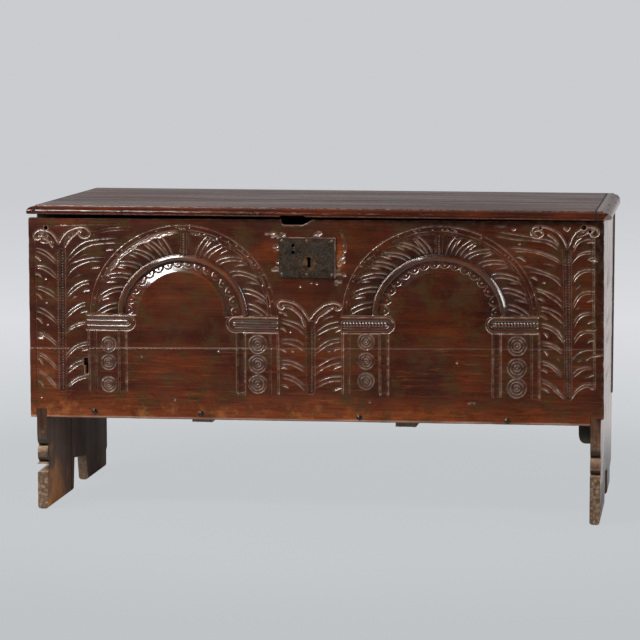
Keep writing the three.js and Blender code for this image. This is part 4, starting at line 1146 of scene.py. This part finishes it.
def round_sole(bm, reach):
    """Rounds the long bottom corners of a foot."""
    sides = [pick(v.co.x for v in bm.verts) for pick in (min, max)]
    for share in (0.1, 0.3, 0.6, 1.0):
        for place, facing in (((0, 0, reach * share), (0, 0, 1)), ((sides[0] + reach * share, 0, 0), (1, 0, 0)),
                              ((sides[1] - reach * share, 0, 0), (1, 0, 0))):
            low = [f for f in bm.faces if min(v.co.z for v in f.verts) < reach]
            parts = {g for f in low for g in (*f.verts, *f.edges)}
            bmesh.ops.bisect_plane(bm, geom=[*parts, *low], dist=1e-6, plane_co=place, plane_no=facing)
    for v in bm.verts:
        side = min(sides, key=lambda x: abs(x - v.co.x))
        inwards = 1 if side == sides[0] else -1
        corner = Vector((side + inwards * reach, reach))
        off = Vector((v.co.x, v.co.z)) - corner
        if off.y < 0 and off.x * inwards < 0 and off.length > reach:
            v.co.x, v.co.z = corner + off.normalized() * reach


def worn(node, materials, radius, slot, body="chest", sole=0.0, joints=(), chips=(), merge=True):
    """A copy of a CAD piece whose arrises are rubbed round, a little unevenly, but not at its joints.

    A second material is for the side that faces in or down, and a third for the edges.
    """
    bm = bmesh.new()
    bm.from_mesh(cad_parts[node].data)
    bmesh.ops.remove_doubles(bm, verts=bm.verts[:], dist=1e-5)
    if merge:
        bmesh.ops.dissolve_limit(bm, angle_limit=0.01, verts=bm.verts[:], edges=bm.edges[:],
                                 use_dissolve_boundaries=False)
    wear_and_highlight, shade_and_dust = bm.faces.layers.float.new("wear_and_highlight"), bm.faces.layers.float.new("shade_and_dust")

    def arrises():
        return [e for e in bm.edges if len(e.link_faces) == 2 and e.calc_face_angle(0) > SHARP
                and not any(all(abs(v.co[axis] - place) < 0.001 for v in e.verts) for axis, place in joints)]

    for place, facing in chips:
        for face in cut_off(bm, place, facing):
            face[wear_and_highlight] = 0.45 if abs(facing[1]) > 0.1 else 0.0
    if sole:
        round_sole(bm, sole / 1000)
    for _ in range(6):
        bmesh.ops.subdivide_edges(bm, edges=[e for e in arrises() if e.calc_length() > 0.03], cuts=1)
    rubbed = bmesh.ops.bevel(bm, geom=arrises(), offset=radius / 1000, segments=3, profile=0.5, affect="EDGES",
                             clamp_overlap=True)
    generator = np.random.default_rng(len(node))
    for face in rubbed["faces"]:
        face[wear_and_highlight] = float(generator.uniform(0.3, 1.0)) ** 1.5
    for face in bm.faces:
        face.smooth = True
        face.normal_update()
        across, ahead, up = face.normal
        if len(materials) == 2:
            face.material_index = int(up < -0.9)
        elif len(materials) == 3:
            inwards = across * (-1 if "right" in node else 1)
            face.material_index = 2 if ahead < -0.6 or abs(up) > 0.8 else 1 if inwards > 0.6 else 0
            # On the feet's front edges: painted shade on faces that look down, a painted highlight on faces that look
            # up
            if ahead < 0 and TOE[0] < face.calc_center_median().z < TOE[1]:
                face[shade_and_dust] = 1.0 if up < -0.25 else 0.0
                face[wear_and_highlight] = max(face[wear_and_highlight], min(1.0, up * 1.3))
    bmesh.ops.triangulate(bm, faces=[f for f in bm.faces if len(f.verts) > 4])
    mesh = bpy.data.meshes.new(node + "_worn")
    bm.to_mesh(mesh)
    bm.free()
    for material in materials:
        mesh.materials.append(material)
    mesh.set_sharp_from_angle(angle=0.7)
    made = bpy.data.objects.new(node + "_worn", mesh)
    scene.collection.objects.link(made)
    made.modifiers.new("flat_faces", "WEIGHTED_NORMAL").keep_sharp = True
    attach(made, body)
    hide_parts(node)


LID = {"body": "lid", "slot": "lid_oak",
       "joints": [(0, metres(CLEAT_JOINT_LEFT)[0]), (0, metres(CLEAT_JOINT_RIGHT)[0]), (1, metres(y=LID_JOINT_Y)[1])]}
# Worn places: the lid's front right corner, and the back's right end
LID_CHIP = (metres(594, -12, 625.5), (0.766, -0.368, -0.528))
BACK_CHIP = (metres(597.2, -OVER_Y), (1, 0, 0))
WORN = {"lid_board": dict(materials=[lid_along["x"], lid_under["x"]], radius=1.1, **LID),
        "lid_cleat_left": dict(materials=[lid_along["y"], lid_under["y"]], radius=1.3, **LID),
        "lid_cleat_right": dict(materials=[lid_along["y"], lid_under["y"]], radius=1.3, chips=[LID_CHIP], **LID),
        "end_": dict(materials=[end_oak, end_dry, end_edge], radius=1.4, slot="end_oak", sole=7.0),
        "back_board": dict(materials=[back_oak], radius=1.5, slot="back_oak", chips=[BACK_CHIP]),
        "bottom_board": dict(materials=[dry_along["x"]], radius=1.0, slot="inner_oak"),
        "batten_left": dict(materials=[dry_along["y"]], radius=1.2, slot="inner_oak"),
        "batten_right": dict(materials=[dry_along["y"]], radius=1.2, slot="inner_oak"),
        "bearer": dict(materials=[bearer_oak], radius=1.6, slot="inner_oak"),
        "lock_plate": dict(materials=[plate_iron], radius=0.35, slot="iron", merge=False),
        "hinge_strap": dict(materials=[dark_iron], radius=0.5, slot="iron", body="lid"),
        "hinge_plate": dict(materials=[dark_iron], radius=0.5, slot="iron")}
# The CAD pieces that stay, with their looks
KEPT = {"lock_bolt": bolt_iron, "lock_case": dark_iron, "bolt_": dark_iron, "hinge_pin": dark_iron,
        "bottom_nail": nail_iron, "batten_nail": nail_iron, "plate_nail": plate_nail_iron}
for name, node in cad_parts.items():
    for start, how in WORN.items():
        if name.startswith(start):
            worn(name, **how)
    for start, material in KEPT.items():
        if name.startswith(start):
            for slot in node.material_slots:
                slot.material = material


def nail_head(name, x, y, z, towards, radius, body, seed):
    """A wrought nail's head with a few hammered facets."""
    generator = np.random.default_rng(seed)
    rings = [(radius * 0.96, 0.0), (radius, 0.5), (radius * 0.62, radius * 0.3), (radius * 0.18, radius * 0.42)]
    sides = 9
    points = [(r * s * math.cos(a), r * s * math.sin(a), h) for r, h in rings
              for a, s in zip(np.linspace(0, 2 * math.pi, sides, endpoint=False), generator.uniform(0.88, 1.0, sides))]
    faces = [[i * sides + k, i * sides + (k + 1) % sides, (i + 1) * sides + (k + 1) % sides, (i + 1) * sides + k]
             for i in range(3) for k in range(sides)]
    faces += [list(range(3 * sides, 4 * sides)), list(range(sides))[::-1]]
    turn = Vector(towards).to_track_quat("Z", "Y").to_matrix()
    vertices = [metres(*(turn @ Vector(p) + Vector((x, y, z)))) for p in points]
    made = build_mesh(name, vertices, faces, [nail_iron], smooth=False)
    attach(made, body)


back_nails = [(-575, 560), (-574, 470), (-576, 330), (-575, 240), (584, 566), (585, 452), (584, 345), (586, 236),
              (-400, 212), (-150, 211), (120, 213), (380, 212)]
for n, (x, z) in enumerate(back_nails):
    nail_head(f"back_nail_{n + 1}", x, 540.05, z, (0, 1, 0), 5.2, "chest", 200 + n)
# Three nails in each hinge's leaf and three in its strap, not quite in line
hinge_nails = [(side * STRAP_X + (3 if n % 2 else -3), n % 3) for n, side in enumerate((-1, -1, -1, 1, 1, 1))]
for n, (x, row) in enumerate(hinge_nails):
    nail_head(f"leaf_nail_{n + 1}", x, 543.35, 619.7 - (22, 48, 76)[row], (0, 1, 0), 4.6, "chest", 230 + n)
for n, (x, row) in enumerate(hinge_nails):
    nail_head(f"strap_nail_{n + 1}", x, (500, 420, 340)[row], 622.15, (0, 0, -1), 4.6, "lid", 250 + n)


# ---------------------------------------------------------------- camera, light, floor and background

camera = bpy.data.objects.new("camera", bpy.data.cameras.new("camera"))
camera.location = (0.81942, -5.51616, 1.0433)
camera.rotation_euler = (math.radians(90 - 6.77), 0, math.radians(8.75))
camera.data.lens = 145.995
camera.data.sensor_width = 36
camera.data.clip_end = 200
scene.collection.objects.link(camera)
scene.camera = camera


def softbox(name, place, towards, along, length, width, power):
    """An area lamp whose long side lies along a direction."""
    lamp = bpy.data.objects.new(name, bpy.data.lights.new(name, "AREA"))
    lamp.data.shape = "RECTANGLE"
    lamp.data.size, lamp.data.size_y = length, width
    lamp.data.energy = power
    facing = (Vector(place) - Vector(towards)).normalized()
    side = (Vector(along) - facing * facing.dot(Vector(along))).normalized()
    turn = Matrix((side, facing.cross(side), facing)).transposed()
    lamp.matrix_world = Matrix.Translation(place) @ turn.to_4x4()
    scene.collection.objects.link(lamp)


softbox("key_left", (-1.8, -1.6, 1.9), (-0.1, -0.27, 0.45), (2.4, -0.3, 1.2), 2.7, 0.32, 91)
softbox("edge_right", (2.3, -1.9, 1.3), (0.2, -0.27, 0.45), (0, 0, 1), 1.4, 0.35, 21)

scene.world = bpy.data.worlds.new("studio")
scene.world.use_nodes = True
sky = Nodes(scene.world.node_tree)
across, ahead, up = sky.axes(sky.node("TexCoord", out="Generated"))
seen = sky.ramp(sky.between(up, -0.25, 0.0, how="LINEAR"),
                (0.0, 0.225, 0.32, 0.41, 0.53, 0.64, 0.72, 1.0),
                [(191, 195, 198), (191, 195, 198), (197, 200, 204), (206, 209, 212), (220, 221, 224), (209, 211, 215),
                 (202, 204, 208), (202, 204, 208)])
# Mirror-like rays see a pale background behind and beside the chest, brighter low down and to the right, and a
# darker room in front of it, with a little light far to the left, which greys the left half of the front
room = sky.times(sky.between(ahead, 0.1, 0.95, 0.01, 0.55), sky.between(up, -0.04, 0.08, 1.18, 0.545))
room = sky.times(room, sky.between(across, -0.28, 0.02, 0.86, 1.2, how="LINEAR"))
room = sky.add(room, sky.between(across, -0.3, -0.06, 0.085, 0.0))
mirrored = sky.node("Background", ((215, 208, 207), room))
even = sky.node("Background", ((255, 255, 255), 0.3))
rays = sky.node("LightPath").node.outputs
shown = sky.node("MixShader", (sky.larger(rays["Is Glossy Ray"], rays["Is Transmission Ray"]), even, mirrored))
shown = sky.node("MixShader", (rays["Is Camera Ray"], shown, sky.node("Background", (seen,))))
sky.node("OutputWorld", (shown,))


def floor_look():
    """A pale floor that takes the chest's shadow and fades into the background further away."""
    look = Look("pale_floor")
    seen_by_camera = look.node("LightPath", out="Is Camera Ray")
    lit = look.node("MixShader", (look.times(seen_by_camera, 0.95), look.node("BsdfDiffuse", ((204, 207, 210),)),
                                  look.node("Emission", ((196, 200, 203),))))
    far = look.node("VectorMath", (look.stretch((1, 1.3, 0)),), out="Value", operation="LENGTH")
    faded = look.node("MixShader", (look.between(far, 0.75, 1.7), lit, look.node("BsdfTransparent")))
    look.node("OutputMaterial", (faded,))
    return look.material


SIDES = 96
turns = np.linspace(0, 2 * np.pi, SIDES + 1)[:-1]
rings = [np.stack([r * np.cos(turns), r * np.sin(turns), np.full(SIDES, -0.0005)], 1) for r in (0.8, 1.9)]
spokes = [(1 + n, 1 + (n + 1) % SIDES) for n in range(SIDES)]
build_mesh("floor", np.concatenate([[(0, 0, -0.0005)], *rings]),
                    [[0, a, b] for a, b in spokes] + [[a, SIDES + a, SIDES + b, b] for a, b in spokes], [floor_look()])

scene.view_settings.view_transform = "Standard"
